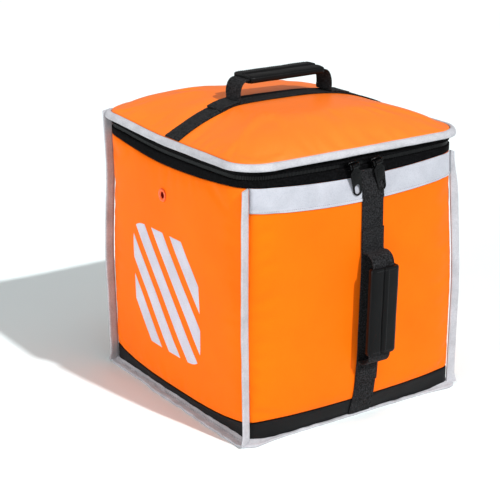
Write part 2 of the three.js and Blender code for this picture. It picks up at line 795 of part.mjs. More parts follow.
// A zip slider on the front, and its pull hung from the slider's bar. The slider sits a little
// askew. The pull rests on what lies below it, so it leans out by the angle that just clears the
// strap and the strip.
function sliderAndPull(name, x, skew) {
  const z = zipMiddle(0);
  const face = reachAt(front, x, z - SLIDER_DROP) + LAY;
  const boreRadius = BAR_RADIUS + EYE_CLEARANCE;
  const eyeRadius = boreRadius + EYE_WALL;
  const axisReach = face + SLIDER_THICKNESS + eyeRadius + EYE_CLEARANCE;
  const plateMiddle = axisReach - face - SLIDER_THICKNESS / 2;

  const plate = new THREE.BoxGeometry(SLIDER_LENGTH, SLIDER_THICKNESS, SLIDER_HEIGHT);
  plate.translate(0, plateMiddle, 0);
  const lugReach = plateMiddle + BAR_RADIUS;
  const lugs = [-1, 1].map((side) => {
    const lug = new THREE.BoxGeometry(LUG_LENGTH, lugReach, 2 * eyeRadius);
    const lugX = (side * (SLIDER_LENGTH - LUG_LENGTH)) / 2;
    return lug.translate(lugX, plateMiddle - lugReach / 2, 0);
  });
  const bar = roundBar(BAR_RADIUS, SLIDER_LENGTH - LUG_LENGTH, new THREE.Vector3(), PULL_SIDES);
  const carrier = [...lugs, bar].reduce((whole, piece) => whole.add(solid(piece)), solid(plate));
  const slider = add("zip_slider_" + name, geometryOf(carrier), "metal");
  slider.position.set(x, -axisReach, z);
  slider.rotation.y = -skew;

  const reachBelow = (drop) => {
    const at = z - drop * Math.cos(skew);
    const atX = x + drop * Math.sin(skew);
    const strap = Math.abs(atX - strapX(at)) < (WEBBING + PULL_WIDTH_TOP) / 2;
    return reachAt(front, atX, at) + frontLay(at) + (strap ? WEBBING_THICKNESS : 0) + LAY;
  };
  const leans = evenSteps(PULL_LENGTH * 0.4, PULL_LENGTH, 4).map((drop) =>
    Math.atan2(reachBelow(drop) + PULL_THICKNESS / 2 - axisReach, drop),
  );
  const lean = Math.max(0, ...leans);

  const pull = solid(pullPlate(eyeRadius)).add(solid(pullEye(eyeRadius)));
  const bore = roundBar(boreRadius, SLIDER_LENGTH, new THREE.Vector3(), PULL_SIDES);
  const mesh = add("zip_pull_" + name, geometryOf(pull.subtract(solid(bore))), "metal");
  mesh.position.copy(slider.position);
  mesh.rotation.set(-lean, -skew, 0, "YXZ");
}

// The pull's plate, hanging down -Z from its eye, with a ring at its foot.
function pullPlate(eyeRadius) {
  const top = -(eyeRadius + BAR_RADIUS + EYE_CLEARANCE) / 2;
  const ringRadius = PULL_WIDTH_FOOT / 2;
  const ringZ = -PULL_LENGTH + ringRadius;
  const neck = SLIDER_LENGTH / 2 - LUG_LENGTH - EYE_END_CLEARANCE;
  const neckEnd = -eyeRadius - EYE_END_CLEARANCE;
  const shoulder = neckEnd - NECK_DROP;
  const shape = new THREE.Shape();
  shape.moveTo(-neck, top);
  shape.lineTo(-neck, neckEnd);
  shape.lineTo(-PULL_WIDTH_TOP / 2, shoulder);
  shape.lineTo(-ringRadius, ringZ);
  shape.absarc(0, ringZ, ringRadius, Math.PI, 2 * Math.PI, false);
  shape.lineTo(PULL_WIDTH_TOP / 2, shoulder);
  shape.lineTo(neck, neckEnd);
  shape.lineTo(neck, top);
  shape.closePath();
  const holeRadius = ringRadius - PULL_RING_WALL;
  const holeTop = ringZ + PULL_RING_HEIGHT - ringRadius - holeRadius + PULL_RING_WALL;
  const hole = new THREE.Path();
  hole.moveTo(-holeRadius, ringZ);
  hole.lineTo(-holeRadius, holeTop);
  hole.absarc(0, holeTop, holeRadius, Math.PI, 0, true);
  hole.lineTo(holeRadius, ringZ);
  hole.absarc(0, ringZ, holeRadius, 0, -Math.PI, true);
  shape.holes.push(hole);
  const plate = new THREE.ExtrudeGeometry(shape, {
    depth: PULL_THICKNESS,
    bevelEnabled: false,
    curveSegments: 8,
  });
  plate.translate(0, 0, -PULL_THICKNESS / 2);
  plate.rotateX(Math.PI / 2);
  return plate;
}

function pullEye(radius) {
  const length = SLIDER_LENGTH - 2 * LUG_LENGTH - 2 * EYE_END_CLEARANCE;
  return roundBar(radius, length, new THREE.Vector3(), PULL_SIDES);
}

// The route of a shoulder strap: the share of its bow by which it stands off the back panel, at
// shares of the height from the base seam to the lid seat, and its share of the way from the top x
// to the foot x.
const PAD_ROUTE = [
  { off: 0.03, height: 0.93, side: 0 },
  { off: 0.44, height: 0.93, side: 0.03 },
  { off: 0.76, height: 0.87, side: 0.1 },
  { off: 0.94, height: 0.76, side: 0.25 },
  { off: 1, height: 0.62, side: 0.45 },
  { off: 0.92, height: 0.48, side: 0.7 },
  { off: 0.72, height: 0.35, side: 1 },
];

function backHeight(share) {
  return THREE.MathUtils.lerp(BASE_HEIGHT, LID_SEAT, share);
}

function backPoint(x, z, off) {
  return pointOn(back, -x, z, off);
}

function shoulderStrap(name, signX) {
  const across = new THREE.Vector3(1, 0, 0);
  const points = PAD_ROUTE.map(({ off, height, side }) => {
    const x = signX * THREE.MathUtils.lerp(PAD_TOP_X, PAD_FOOT_X, side);
    return backPoint(x, backHeight(height), PAD_BOW * off);
  });
  const path = new THREE.CatmullRomCurve3(points, false, "centripetal").getPoints(16);
  const padAt = (share) => {
    const narrowed = THREE.MathUtils.smoothstep(share, 0.7, 1);
    const width = THREE.MathUtils.lerp(PAD_WIDTH, PAD_FOOT_WIDTH, narrowed);
    return oblong(8, width, PAD_THICKNESS, 0.6);
  };
  add("shoulder_pad_" + name, band(path, across, padAt), "black");

  const end = path[path.length - 1];
  const heading = end.clone().sub(path[path.length - 2]).normalize();
  const buckle = end.clone().addScaledVector(heading, ADJUSTER_HEIGHT / 2 + GAP);
  add("shoulder_adjuster_" + name, adjuster(buckle, heading, across), "vinyl");

  const tailLift = LAY + WEBBING_THICKNESS;
  const tail = new THREE.CatmullRomCurve3(
    [
      buckle.clone().addScaledVector(heading, ADJUSTER_HEIGHT / 2 + GAP),
      buckle.clone().addScaledVector(heading, ADJUSTER_HEIGHT / 2 + TAIL_STRAIGHT),
      backPoint(signX * TAIL_FOOT_X, BASE_HEIGHT * 1.8, tailLift * 2),
      backPoint(signX * TAIL_FOOT_X, BASE_HEIGHT, tailLift),
      backPoint(signX * TAIL_FOOT_X, BASE_HEIGHT / 2, tailLift),
    ],
    false,
    "centripetal",
  );
  add("shoulder_webbing_" + name, webbing(tail.getPoints(12), across, TAIL_WEBBING), "black");
}

// A plain strap adjuster: a flat frame with two slots, set square to the strap.
function adjuster(middle, heading, across) {
  const shape = new THREE.Shape();
  const halfWidth = ADJUSTER_WIDTH / 2;
  const halfHeight = ADJUSTER_HEIGHT / 2;
  shape.moveTo(-halfWidth, -halfHeight);
  shape.lineTo(halfWidth, -halfHeight);
  shape.lineTo(halfWidth, halfHeight);
  shape.lineTo(-halfWidth, halfHeight);
  shape.closePath();
  const slotHalf = TAIL_WEBBING / 2 + GAP * 2;
  [-1, 1].forEach((row) => {
    const slot = new THREE.Path();
    const middleY = (row * ADJUSTER_HEIGHT) / 4;
    const half = ADJUSTER_HEIGHT / 10;
    slot.moveTo(-slotHalf, middleY - half);
    slot.lineTo(-slotHalf, middleY + half);
    slot.lineTo(slotHalf, middleY + half);
    slot.lineTo(slotHalf, middleY - half);
    slot.closePath();
    shape.holes.push(slot);
  });
  const depth = ADJUSTER_THICKNESS;
  const frame = new THREE.ExtrudeGeometry(shape, { depth, bevelEnabled: false });
  frame.translate(0, 0, -depth / 2);
  const normal = new THREE.Vector3().crossVectors(across, heading).normalize();
  const wide = new THREE.Vector3().crossVectors(heading, normal);
  const turn = new THREE.Matrix4().makeBasis(wide, heading, normal).setPosition(middle);
  return frame.applyMatrix4(turn);
}

base();
panels();
eyelet();
floorBinding();
uprightBindings();
zip();
lid();
lidBinding();
reflectiveStrip();
frontStrap();
frontHandle();
topStrap();
topHandle();
sliderAndPull("left", SLIDER_LEFT_X, SLIDER_LEFT_SKEW);
sliderAndPull("right", SLIDER_RIGHT_X, SLIDER_RIGHT_SKEW);
shoulderStrap("left", -1);
shoulderStrap("right", 1);

export default group;
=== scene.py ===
"""An insulated cube backpack for hot food: padded orange panels, bound seams, zip, straps and handles.

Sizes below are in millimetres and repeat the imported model's, and every mesh is made in metres.
+Z is up, the front with the zip pulls faces -Y, and the shoulder straps are at +Y.
"""

import math

import bmesh
import bpy
import numpy as np
from mathutils import Matrix, Vector, noise
from mathutils.bvhtree import BVHTree


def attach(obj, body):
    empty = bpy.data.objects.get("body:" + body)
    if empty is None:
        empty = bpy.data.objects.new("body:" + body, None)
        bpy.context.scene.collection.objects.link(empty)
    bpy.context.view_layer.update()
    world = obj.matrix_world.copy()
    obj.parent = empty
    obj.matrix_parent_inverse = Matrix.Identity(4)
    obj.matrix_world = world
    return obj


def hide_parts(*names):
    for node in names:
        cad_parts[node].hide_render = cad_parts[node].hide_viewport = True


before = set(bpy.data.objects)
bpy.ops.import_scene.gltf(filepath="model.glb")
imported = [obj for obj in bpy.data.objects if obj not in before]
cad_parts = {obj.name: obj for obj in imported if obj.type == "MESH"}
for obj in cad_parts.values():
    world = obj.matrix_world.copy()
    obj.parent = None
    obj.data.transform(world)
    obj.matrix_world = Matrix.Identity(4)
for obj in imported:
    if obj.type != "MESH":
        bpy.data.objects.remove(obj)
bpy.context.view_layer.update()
BAG = "bag"

# Box.
WIDTH, DEPTH, WALL, FLOOR = 370, 381, 8, 7
BASE_HEIGHT, ZIP_LOW, ZIP_MIDDLE, LID_SEAT, RIM_TOP = 32, 373, 386, 396, 406
DOME, DOME_LEAN, TOP_FLARE, CROWN = 36, 0.18, 4, 2.4
ZIP_SAG, ZIP_MIDDLE_SAG, BASE_CROWN = 7, 2, 3
EDGE_RADIUS, LID_CORNER_RADIUS, CORNER_OPENS_AT = 12, 42, 150
SEAM_ANGLE = math.radians(45)
GAP, BASE_GAP, LAY = 0.35, 0.6, 0.5

# Further out than any part of the bag, for rays cast at it.
FAR = 700

# A panel's bulge, as shares of its fullest, at shares of the panel's height.
BULGE_HEIGHTS = [0, 0.03, 0.08, 0.25, 0.55, 0.82, 0.92, 0.97, 1]
BULGE_SHARES = [0, 0.4, 0.78, 1, 1, 0.85, 0.62, 0.36, 0.08]

# The dome's rise at shares of the way out to the rim, over its front and over its flanks.
DOME_OUT = [0, 0.2, 0.35, 0.5, 0.6, 0.72, 0.82, 0.91, 0.96, 1]
DOME_FRONT = [1.01, 1.01, 1, 0.985, 0.96, 0.86, 0.65, 0.36, 0.17, 0]
DOME_FLANK = [1.01, 1.01, 0.99, 0.93, 0.84, 0.66, 0.45, 0.24, 0.11, 0]

# Shares of the way round from front to flank between which the one passes into the other.
FLANK_SPAN = (0.3, 0.62)

# Seams, zip, webbing.
FIN_LENGTH, FIN_THICKNESS, FIN_FOOT, FIN_TUCK, FIN_TAPERS_OVER = 15, 3.6, 20, 3, 75
FLOOR_FIN, FRONT_FLOOR_FIN, FLOOR_FIN_RISE = 12, 5, 5.5
COIL_HEIGHT, COIL_RECESS, COIL_DEPTH, TAPE_DEPTH = 6, 2, 5, 6
WEBBING, WEBBING_THICKNESS = 38, 2
STRIP_HEIGHT, STRIP_THICKNESS, STRIP_LAID_TO, HEM_HEIGHT = 35, 1.5, 172, 4.5

# The tuck at the strip's left end: its place, its slant, its height and how widely it spreads.
FOLD_X, FOLD_Z, FOLD_SLANT, FOLD_HEIGHT, FOLD_SPREAD = -162, 345, 0.7, 2.6, 40

# The straps' middle lines, and how far below the zip's middle the front one ends.
STRAP_X_TOP, STRAP_X_FOOT, STRAP_STRAIGHT_FROM, STRAP_BELOW_ZIP = 16, 8, 230, 8.3
TOP_STRAP_Y = -8

# The front strap's stitches: the three heights of the crossed box, the heights of the single rows,
# and how far they end from the webbing's edges.
SEWN_BOX, CROSS_SEAMS, STITCH_INSET = (262, 292, 322), (352, 66, 74), 3.5

# Zip sliders and pulls: place of each bar's middle, and how far each slider sits askew.
SLIDERS = {
    "left": {"x": -17.0, "reach": 209.016, "skew": math.radians(8)},
    "right": {"x": 23.0, "reach": 208.995, "skew": math.radians(12)},
}
SLIDER_Z, BAR_RADIUS = 384, 1.4
VENT_Y, VENT_Z, VENT_BORE, VENT_OUTER, VENT_CLEARANCE, VENT_SIDES = 8, 322, 11, 20, 0.8, 24

# The film on the left panel: slanted bars inside a square, which a high power rounds.
BADGE_Y, BADGE_Z, BADGE_HALF, BADGE_SLANT = 8, 172, 92, math.radians(52)
BADGE_BARS, BADGE_BAR, BADGE_PITCH, BADGE_CORNER = 5, 25, 41, 7

# How far the back-left top corner stands above and outside the others, the distances from it at
# which that begins to fade and ends, and the height at which it starts.
CORNER_LIFT, CORNER_PULL, CORNER_FROM, CORNER_TO, CORNER_RISES_AT = 9, 4, 20, 185, 300

# Where the floor seam's tape laps over its own end, and how far it stands out there.
FLOOR_LAP_Y, FLOOR_LAP = 62, 1.8

# Waves in cloth and tape, as layers of (height, size, seed).
PANEL_FOLDS, PANEL_LESSER_FOLDS = [(1.5, 120, 1.3)], [(0.6, 55, 5.7)]
BASE_WAVES = [(0.8, 60, 2.2), (0.5, 21, 6.1)]
UPRIGHT_SWAY = [(1.3, 75, 0), (0.5, 26, 2)]
FLOOR_TAPE_WAVES, LID_TAPE_SWAY = [(2.1, 38, 4.4), (1.7, 12, 9.2)], [(0.9, 46, 3.3), (0.4, 17, 6.6)]
LID_GATHERS, LID_FOLDS, STRIP_WAVES = [(1.6, 26, 2.7)], [(1.6, 110, 4.2)], [(0.7, 34, 5.1)]

# Gathers beside a panel's upright seams, and beside its top and foot: their layers, the factors of
# x, y and z that draw them out, and the distance in which they fade.
SIDE_GATHERS = [(1.3, 17, 3.1)], (0.35, 0.35, 1), 22
END_GATHERS = [(0.9, 19, 8.3)], (1, 1, 0.35), 18

# The cloth simulation: its length, its pressure, and the most it may move panels and pads.
CLOTH_FRAMES, CLOTH_PRESSURE, PANEL_FILL, PAD_FILL = 20, 4, 3.0, 2.0

# Stitches: their pitch along the seam, and the length, width and height of one.
FLOOR_STITCH, HEM_STITCH = (2.6, 2.4, 0.7, 0.1), (3.4, 2.2, 0.7, 0.1)
GRIP_STITCH, STRAP_STITCH = (3.4, 2.4, 1.1, 0.3), (3.6, 2.6, 0.8, 0.15)

# How far the floor seam's stitches lie above and below the middle of their row, in turn.
FLOOR_ZIGZAG = 0.9

# A stitch's rings: how far along it each lies, and its share of the stitch's width.
STITCH_RINGS, STITCH_SIDES = ((0, 0.35), (0.25, 1), (0.75, 1), (1, 0.35)), 6


class Side:
    """One side of the box. along x up = out."""

    def __init__(self, along, out, half, reach, bulge, floor_fin, base_sag):
        self.along, self.out = np.array(along, float), np.array(out, float)
        self.half, self.reach, self.bulge = half, reach, bulge
        self.floor_fin, self.base_sag = floor_fin, base_sag


FRONT = Side((1, 0, 0), (0, -1, 0), WIDTH / 2, DEPTH / 2, 12, FRONT_FLOOR_FIN, 3)
RIGHT = Side((0, 1, 0), (1, 0, 0), DEPTH / 2, WIDTH / 2, 7, FLOOR_FIN, 13)
BACK = Side((-1, 0, 0), (0, 1, 0), WIDTH / 2, DEPTH / 2, 3, FLOOR_FIN, 3)
LEFT = Side((0, -1, 0), (-1, 0, 0), DEPTH / 2, WIDTH / 2, 7, FLOOR_FIN, 13)
SIDES = [FRONT, RIGHT, BACK, LEFT]
UP = np.array([0, 0, 1.0])


def smoothstep(x, low, high):
    k = np.clip((np.asarray(x, float) - low) / (high - low), 0, 1)
    return k * k * (3 - 2 * k)


def lerp(a, b, k):
    return a + (b - a) * k


def corner_radius(z):
    return lerp(EDGE_RADIUS, LID_CORNER_RADIUS, smoothstep(z, CORNER_OPENS_AT, LID_SEAT))


def straight_at(side, z):
    return side.half + TOP_FLARE * z / LID_SEAT - corner_radius(z)


def seam_at(side, z, out=0):
    return straight_at(side, z) + (corner_radius(z) + out) * math.sin(SEAM_ANGLE)


def reach_at(side, t, z, out=0):
    """How far a side's face lies from the box's middle plane, t along it and at height z."""
    radius = corner_radius(z) + out
    over = np.maximum(0, np.abs(t) - straight_at(side, z))
    turned = radius - np.sqrt(np.maximum(0, radius * radius - over * over))
    share = np.minimum(1, np.abs(t) / seam_at(side, z, out))
    bulge = side.bulge * np.interp(np.asarray(z) / LID_SEAT, BULGE_HEIGHTS, BULGE_SHARES)
    return side.reach + TOP_FLARE * z / LID_SEAT + out - turned + bulge * (1 - share**CROWN)


def stations(straight, arc):
    """Stations along a side, seam to seam: (end, angle) on the corner arcs, (0, share) between."""
    arcs = [SEAM_ANGLE * k / arc for k in range(arc, 0, -1)]
    return (
        [(-1, a) for a in arcs]
        + [(0, share) for share in np.linspace(-1, 1, straight + 1)]
        + [(1, a) for a in reversed(arcs)]
    )


def station_t(side, station, z, out=0):
    end, value = station
    if end == 0:
        return value * straight_at(side, z)
    return end * (straight_at(side, z) + (corner_radius(z) + out) * math.sin(value))


def station_share(side, station):
    return abs(station_t(side, station, 0.0)) / seam_at(side, 0.0)


def layer_point(side, station, z, out=0.0):
    t = station_t(side, station, z, out)
    return side.along * t + side.out * reach_at(side, t, z, out) + UP * z


def base_top(side, share):
    return BASE_HEIGHT - side.base_sag * (1 - share**BASE_CROWN)


def zip_low(side, share):
    return ZIP_LOW - ZIP_SAG * (1 - share**2)


def zip_middle(share):
    return ZIP_MIDDLE - ZIP_MIDDLE_SAG * (1 - share**2)


def ripple(point, size, seed=0.0):
    """Smooth noise from -1 to 1 at a point in millimetres."""
    return noise.noise(Vector(point) / size + Vector((seed, seed * 1.7, -seed)))


def waves(point, layers, seed=0.0):
    """The height of layers of ripples at a point, in millimetres."""
    return sum(height * ripple(point, size, seed + own) for height, size, own in layers)


# Materials.


class Shader:
    """A node material on one Principled shader, its sheen a weight and a roughness."""

    def __init__(self, name, specular, sheen=(0, 0.5)):
        self.material = bpy.data.materials.new(name)
        self.material.use_nodes = True
        self.nodes = self.material.node_tree.nodes
        self.links = self.material.node_tree.links
        self.bsdf = self.nodes["Principled BSDF"]
        self.bsdf.inputs["Specular IOR Level"].default_value = specular
        self.bsdf.inputs["Sheen Weight"].default_value = sheen[0]
        self.bsdf.inputs["Sheen Roughness"].default_value = sheen[1]
        self.place = self.nodes.new("ShaderNodeTexCoord").outputs["Object"]

    def node(self, kind, inputs, **attributes):
        """A new node with its attributes, and each input linked from a socket or set to a value."""
        made = self.nodes.new("ShaderNode" + kind)
        for name, value in attributes.items():
            setattr(made, name, value)
        for socket, value in inputs.items():
            if isinstance(value, bpy.types.NodeSocket):
                self.links.new(value, made.inputs[socket])
            else:
                made.inputs[socket].default_value = value
        return made

    def noise(self, size, detail=2.0, rough=0.5):
        """Noise from 0 to 1, its features about `size` millimetres."""
        inputs = {"Vector": self.place, "Scale": 1000 / size, "Detail": detail, "Roughness": rough}
        return self.node("TexNoise", inputs).outputs["Fac"]

    def grain(self, size):
        """Round cells of about `size` millimetres, 0 in their middles."""
        inputs = {"Vector": self.place, "Scale": 1000 / size}
        return self.node("TexVoronoi", inputs).outputs["Distance"]

    def ramp(self, source, low, high, span=(0.3, 0.7)):
        node = self.node("ValToRGB", {"Fac": source})
        for stop, colour, position in zip(node.color_ramp.elements, (low, high), span):
            stop.position = position
            stop.color = (*colour, 1)
        return node.outputs["Color"]

    def colour(self, source):
        self.links.new(source, self.bsdf.inputs["Base Color"])

    def shaded_colour(self, base, shades):
        """Colours the shader by `base`, darkened by `shades`."""
        inputs = {0: 1.0, 6: base, 7: shades}
        self.colour(self.node("Mix", inputs, data_type="RGBA", blend_type="MULTIPLY").outputs[2])

    def roughness(self, source, low, high):
        node = self.node("MapRange", {"Value": source, "To Min": low, "To Max": high})
        self.links.new(node.outputs["Result"], self.bsdf.inputs["Roughness"])

    def bump(self, *layers):
        """Layers of (height source, millimetres high, strength)."""
        below = {}
        for source, height, strength in layers:
            inputs = {"Strength": strength, "Distance": height / 1000, "Height": source, **below}
            below = {"Normal": self.node("Bump", inputs).outputs["Normal"]}
        self.links.new(below["Normal"], self.bsdf.inputs["Normal"])


def scaled(colour, k):
    return tuple(min(1.0, c * k) for c in colour)


def coated_cloth(name, colour, roughness, patch, specular):
    """Smooth coated cloth: a fine weave, faint broad patches, and slight fuzz in creases."""
    shader = Shader(name, specular, (0.01, 0.4))
    broad = shader.noise(95, 3, 0.55)
    fine = shader.noise(2.2, 2, 0.7)
    base = shader.ramp(broad, scaled(colour, 1 - patch), scaled(colour, 1 + patch))
    flecks = shader.ramp(fine, (0.93, 0.93, 0.93), (1, 1, 1))
    shader.shaded_colour(base, flecks)
    shader.roughness(fine, roughness - 0.06, roughness + 0.08)
    shader.bump((shader.noise(34, 3, 0.5), 0.8, 0.35), (shader.grain(0.9), 0.12, 0.5))
    return shader.material


def woven(name, dark, light, pitch, height, specular):
    """Webbing or tape: threads a few millimetres long, painted lighter on their crowns as highlight and
    darker between them as shade.
    """
    shader = Shader(name, specular, (specular / 6, 0.5))
    threads = shader.noise(pitch, 3, 0.75)
    cells = shader.grain(pitch * 1.2)
    # Painted highlight on the threads' crowns, and painted shade in the hollows between them.
    crowns_painted_highlight = shader.ramp(threads, dark, light, (0.4, 0.64))
    hollows_painted_shade = shader.ramp(cells, (1, 1, 1), (0.62, 0.62, 0.62), (0.25, 0.75))
    shader.shaded_colour(crowns_painted_highlight, hollows_painted_shade)
    shader.roughness(threads, 0.7, 0.9)
    shader.bump((cells, height, 0.6), (threads, height * 0.6, 0.5))
    return shader.material


def tape(name, colour, pitch, roughness):
    """Ribbed binding tape with slight soiling, and painted shade in its rib grooves."""
    shader = Shader(name, 0.2, (0.05, 0.4))
    soiled = shader.noise(26, 4, 0.6)
    ribs = shader.noise(pitch, 1, 0.5)
    base = shader.ramp(soiled, scaled(colour, 0.8), colour, (0.3, 0.6))
    # Darker where the ribs are low: painted shade in the grooves between them.
    lines = shader.ramp(ribs, (0.86, 0.86, 0.87), (1, 1, 1), (0.35, 0.65))
    shader.shaded_colour(base, lines)
    shader.roughness(soiled, roughness - 0.08, roughness + 0.08)
    shader.bump((ribs, 0.25, 0.5), (shader.noise(9, 2, 0.5), 0.5, 0.35))
    return shader.material


def grained(name, colour, roughness):
    """Leatherette: small pebbled grain, rubbed smoother in places."""
    shader = Shader(name, 0.14)
    pebbles = shader.grain(1.3)
    rubbed = shader.noise(30, 3, 0.6)
    shader.colour(shader.ramp(rubbed, scaled(colour, 0.8), scaled(colour, 1.4)))
    shader.roughness(rubbed, roughness - 0.08, roughness + 0.12)
    shader.bump((shader.noise(11, 2, 0.5), 0.5, 0.4), (pebbles, 0.15, 0.5))
    return shader.material


def moulded(name, colour, roughness, specular):
    """Enamelled metal or moulded plastic with faint orange peel and handling marks."""
    shader = Shader(name, specular)
    marks = shader.noise(7, 4, 0.65)
    shader.colour(shader.ramp(marks, scaled(colour, 0.85), scaled(colour, 1.25)))
    shader.roughness(marks, roughness - 0.07, roughness + 0.12)
    shader.bump((shader.noise(1.6, 2, 0.5), 0.05, 0.4))
    return shader.material


def film(name, low, high):
    """Reflective film: pale, with a fine honeycomb of cells and a satin face."""
    shader = Shader(name, 0.3)
    cells = shader.grain(1.6)
    broad = shader.noise(40, 3, 0.55)
    base = shader.ramp(broad, low, high)
    lines = shader.ramp(cells, (1, 1, 1), (0.9, 0.9, 0.91), (0.4, 0.8))
    shader.shaded_colour(base, lines)
    shader.roughness(broad, 0.36, 0.5)
    shader.bump((shader.noise(22, 3, 0.55), 0.7, 0.35), (cells, 0.05, 0.3))
    return shader.material


# Each finish: its name, the function that makes it, and that function's values.
FINISHES = (
    ("orange_cloth", coated_cloth, (0.93, 0.15, 0.002), 0.5, 0.05, 0.06),
    # The lid's cloth is a lighter, yellower copy of the orange cloth: painted light, for the stronger light
    # that falls on the lid from above.
    ("top_cloth", coated_cloth, (0.97, 0.186, 0.01), 0.4, 0.05, 0.4),
    ("base_cloth", coated_cloth, (0.006, 0.0062, 0.0068), 0.42, 0.25, 0.1),
    ("black_webbing", woven, (0.0012, 0.0012, 0.0014), (0.036, 0.036, 0.039), 2.2, 0.5, 0.09),
    ("zip_cloth", woven, (0.0006, 0.0006, 0.0008), (0.007, 0.007, 0.008), 2.4, 0.3, 0.04),
    ("pad_cloth", woven, (0.003, 0.003, 0.0035), (0.018, 0.018, 0.02), 1.6, 0.25, 0.12),
    ("grip_leather", grained, (0.0014, 0.0014, 0.0017), 0.4),
    ("binding_tape", tape, (0.5, 0.5, 0.53), 1.8, 0.7),
    ("reflective_film", film, (0.4, 0.41, 0.455), (0.48, 0.49, 0.54)),
    ("badge_film", film, (0.52, 0.49, 0.56), (0.6, 0.565, 0.64)),
    ("zip_metal", moulded, (0.0012, 0.0012, 0.0014), 0.22, 0.14),
    ("eyelet_rubber", moulded, (0.86, 0.11, 0.018), 0.38, 0.4),
    ("buckle_plastic", moulded, (0.008, 0.008, 0.009), 0.4, 0.4),
    ("zip_teeth", moulded, (0.004, 0.004, 0.0045), 0.3, 0.3),
    # A darker red than the eyelet, for the sleeve in its bore: painted shade inside the hole.
    ("vent_bore", moulded, (0.26, 0.008, 0.005), 0.6, 0.1),
    ("dark_thread", moulded, (0.024, 0.024, 0.026), 0.6, 0.1),
    ("grey_thread", moulded, (0.24, 0.25, 0.27), 0.7, 0.1),
)
MATERIALS = {name: make(name, *values) for name, make, *values in FINISHES}


# Meshes.


def settled(points):
    """The soft box as it stands: its back-left top corner is drawn up and out a little."""
    points = np.array(points, float)
    far = np.hypot(points[:, 0] + WIDTH / 2, points[:, 1] - DEPTH / 2)
    near = 1 - smoothstep(far, CORNER_FROM, CORNER_TO)
    share = near * smoothstep(points[:, 2], CORNER_RISES_AT, LID_SEAT)
    points[:, 2] += CORNER_LIFT * share
    points[:, 0] -= CORNER_PULL * share
    return points


def circle(radius, count):
    """Points (across, up) round a circle."""
    angles = np.linspace(0, 2 * math.pi, count, endpoint=False)
    return [(radius * math.cos(a), radius * math.sin(a)) for a in angles]


def unit(vector):
    vector = np.asarray(vector, float)
    return vector / np.linalg.norm(vector)


def link_object(name, data):
    made = bpy.data.objects.new(name, data)
    bpy.context.scene.collection.objects.link(made)
    return made


def evaluated(piece):
    return piece.evaluated_get(bpy.context.evaluated_depsgraph_get())


def turn_outward(mesh, merge=False):
    """Turns a mesh's faces outward, after joining its doubled points where `merge` says so."""
    shaped = bmesh.new()
    shaped.from_mesh(mesh)
    if merge:
        bmesh.ops.remove_doubles(shaped, verts=shaped.verts, dist=1e-6)
    bmesh.ops.recalc_face_normals(shaped, faces=shaped.faces)
    shaped.to_mesh(mesh)
    shaped.free()


def mesh_of(name, points, faces):
    """A mesh from points in millimetres."""
    mesh = bpy.data.meshes.new(name)
    mesh.from_pydata((points / 1000).tolist(), [], faces)
    turn_outward(mesh)
    return mesh


def dress(name, mesh, finish, body, sharp):
    """A smooth-shaded piece of a finished mesh, on a body, with its material."""
    mesh.shade_smooth()
    mesh.set_sharp_from_angle(angle=math.radians(sharp))
    mesh.materials.clear()
    mesh.materials.append(MATERIALS[finish])
    piece = link_object(name, mesh)
    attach(piece, body)
    return piece


def add_piece(name, points, faces, finish, body=BAG, sharp=40):
    return dress(name, mesh_of(name, settled(points), faces), finish, body, sharp)


def loft_faces(rings, count, closed=False):
    """Faces between equal closed loops of `count` points; `closed` joins last loop to first."""
    faces = []
    spans = rings if closed else rings - 1
    for i in range(spans):
        here, after = i * count, ((i + 1) % rings) * count
        for j in range(count):
            k = (j + 1) % count
            faces.append((here + j, here + k, after + k, after + j))
    if not closed:
        faces.append(tuple(range(count))[::-1])
        faces.append(tuple((rings - 1) * count + j for j in range(count)))
    return faces


def loft(name, loops, finish, closed=False, **options):
    """A piece lofted through equal closed loops of points."""
    points = np.concatenate([np.asarray(loop, float) for loop in loops])
    return add_piece(name, points, loft_faces(len(loops), len(loops[0]), closed), finish, **options)


def sheet(name, rows, columns, pair_at, finish, **options):
    """A closed slab from pair_at(row, column), which gives its outer and its inner point."""
    pairs = np.array([[pair_at(i, j) for j in range(columns)] for i in range(rows)])
    points = np.concatenate([pairs[:, :, 0].reshape(-1, 3), pairs[:, :, 1].reshape(-1, 3)])
    offset = rows * columns
    faces = []
    for i in range(rows - 1):
        for j in range(columns - 1):
            a, b = i * columns + j, i * columns + j + 1
            c, d = b + columns, a + columns
            faces.append((a, b, c, d))
            faces.append((offset + d, offset + c, offset + b, offset + a))
    edge = list(range(columns))
    edge += [i * columns + columns - 1 for i in range(1, rows)]
    edge += [(rows - 1) * columns + j for j in range(columns - 2, -1, -1)]
    edge += [i * columns for i in range(rows - 2, 0, -1)]
    for a, b in zip(edge, edge[1:] + edge[:1]):
        faces.append((a, offset + a, offset + b, b))
    return add_piece(name, points, faces, finish, **options), edge


def box_faces(start):
    """Faces of a box of eight points: its lower corners in turn, then its upper ones."""
    sides = [(j, (j + 1) % 4, 4 + (j + 1) % 4, 4 + j) for j in range(4)]
    return [tuple(start + k for k in face) for face in [(3, 2, 1, 0), (4, 5, 6, 7), *sides]]


def distances(line):
    """How far along a polyline each of its points lies."""
    return np.concatenate([[0], np.cumsum(np.linalg.norm(np.diff(line, axis=0), axis=1))])


def points_at(places, run, line):
    """The points of a polyline at distances along it."""
    return np.stack([np.interp(places, run, line[:, k]) for k in range(3)], axis=-1)


def subdivide(piece):
    modifier = piece.modifiers.new("Subdivision", "SUBSURF")
    modifier.levels = modifier.render_levels = 1


def round_edges(piece, width, segments=2):
    modifier = piece.modifiers.new("Bevel", "BEVEL")
    modifier.width = width / 1000
    modifier.segments = segments
    modifier.limit_method = "ANGLE"
    modifier.angle_limit = math.radians(35)


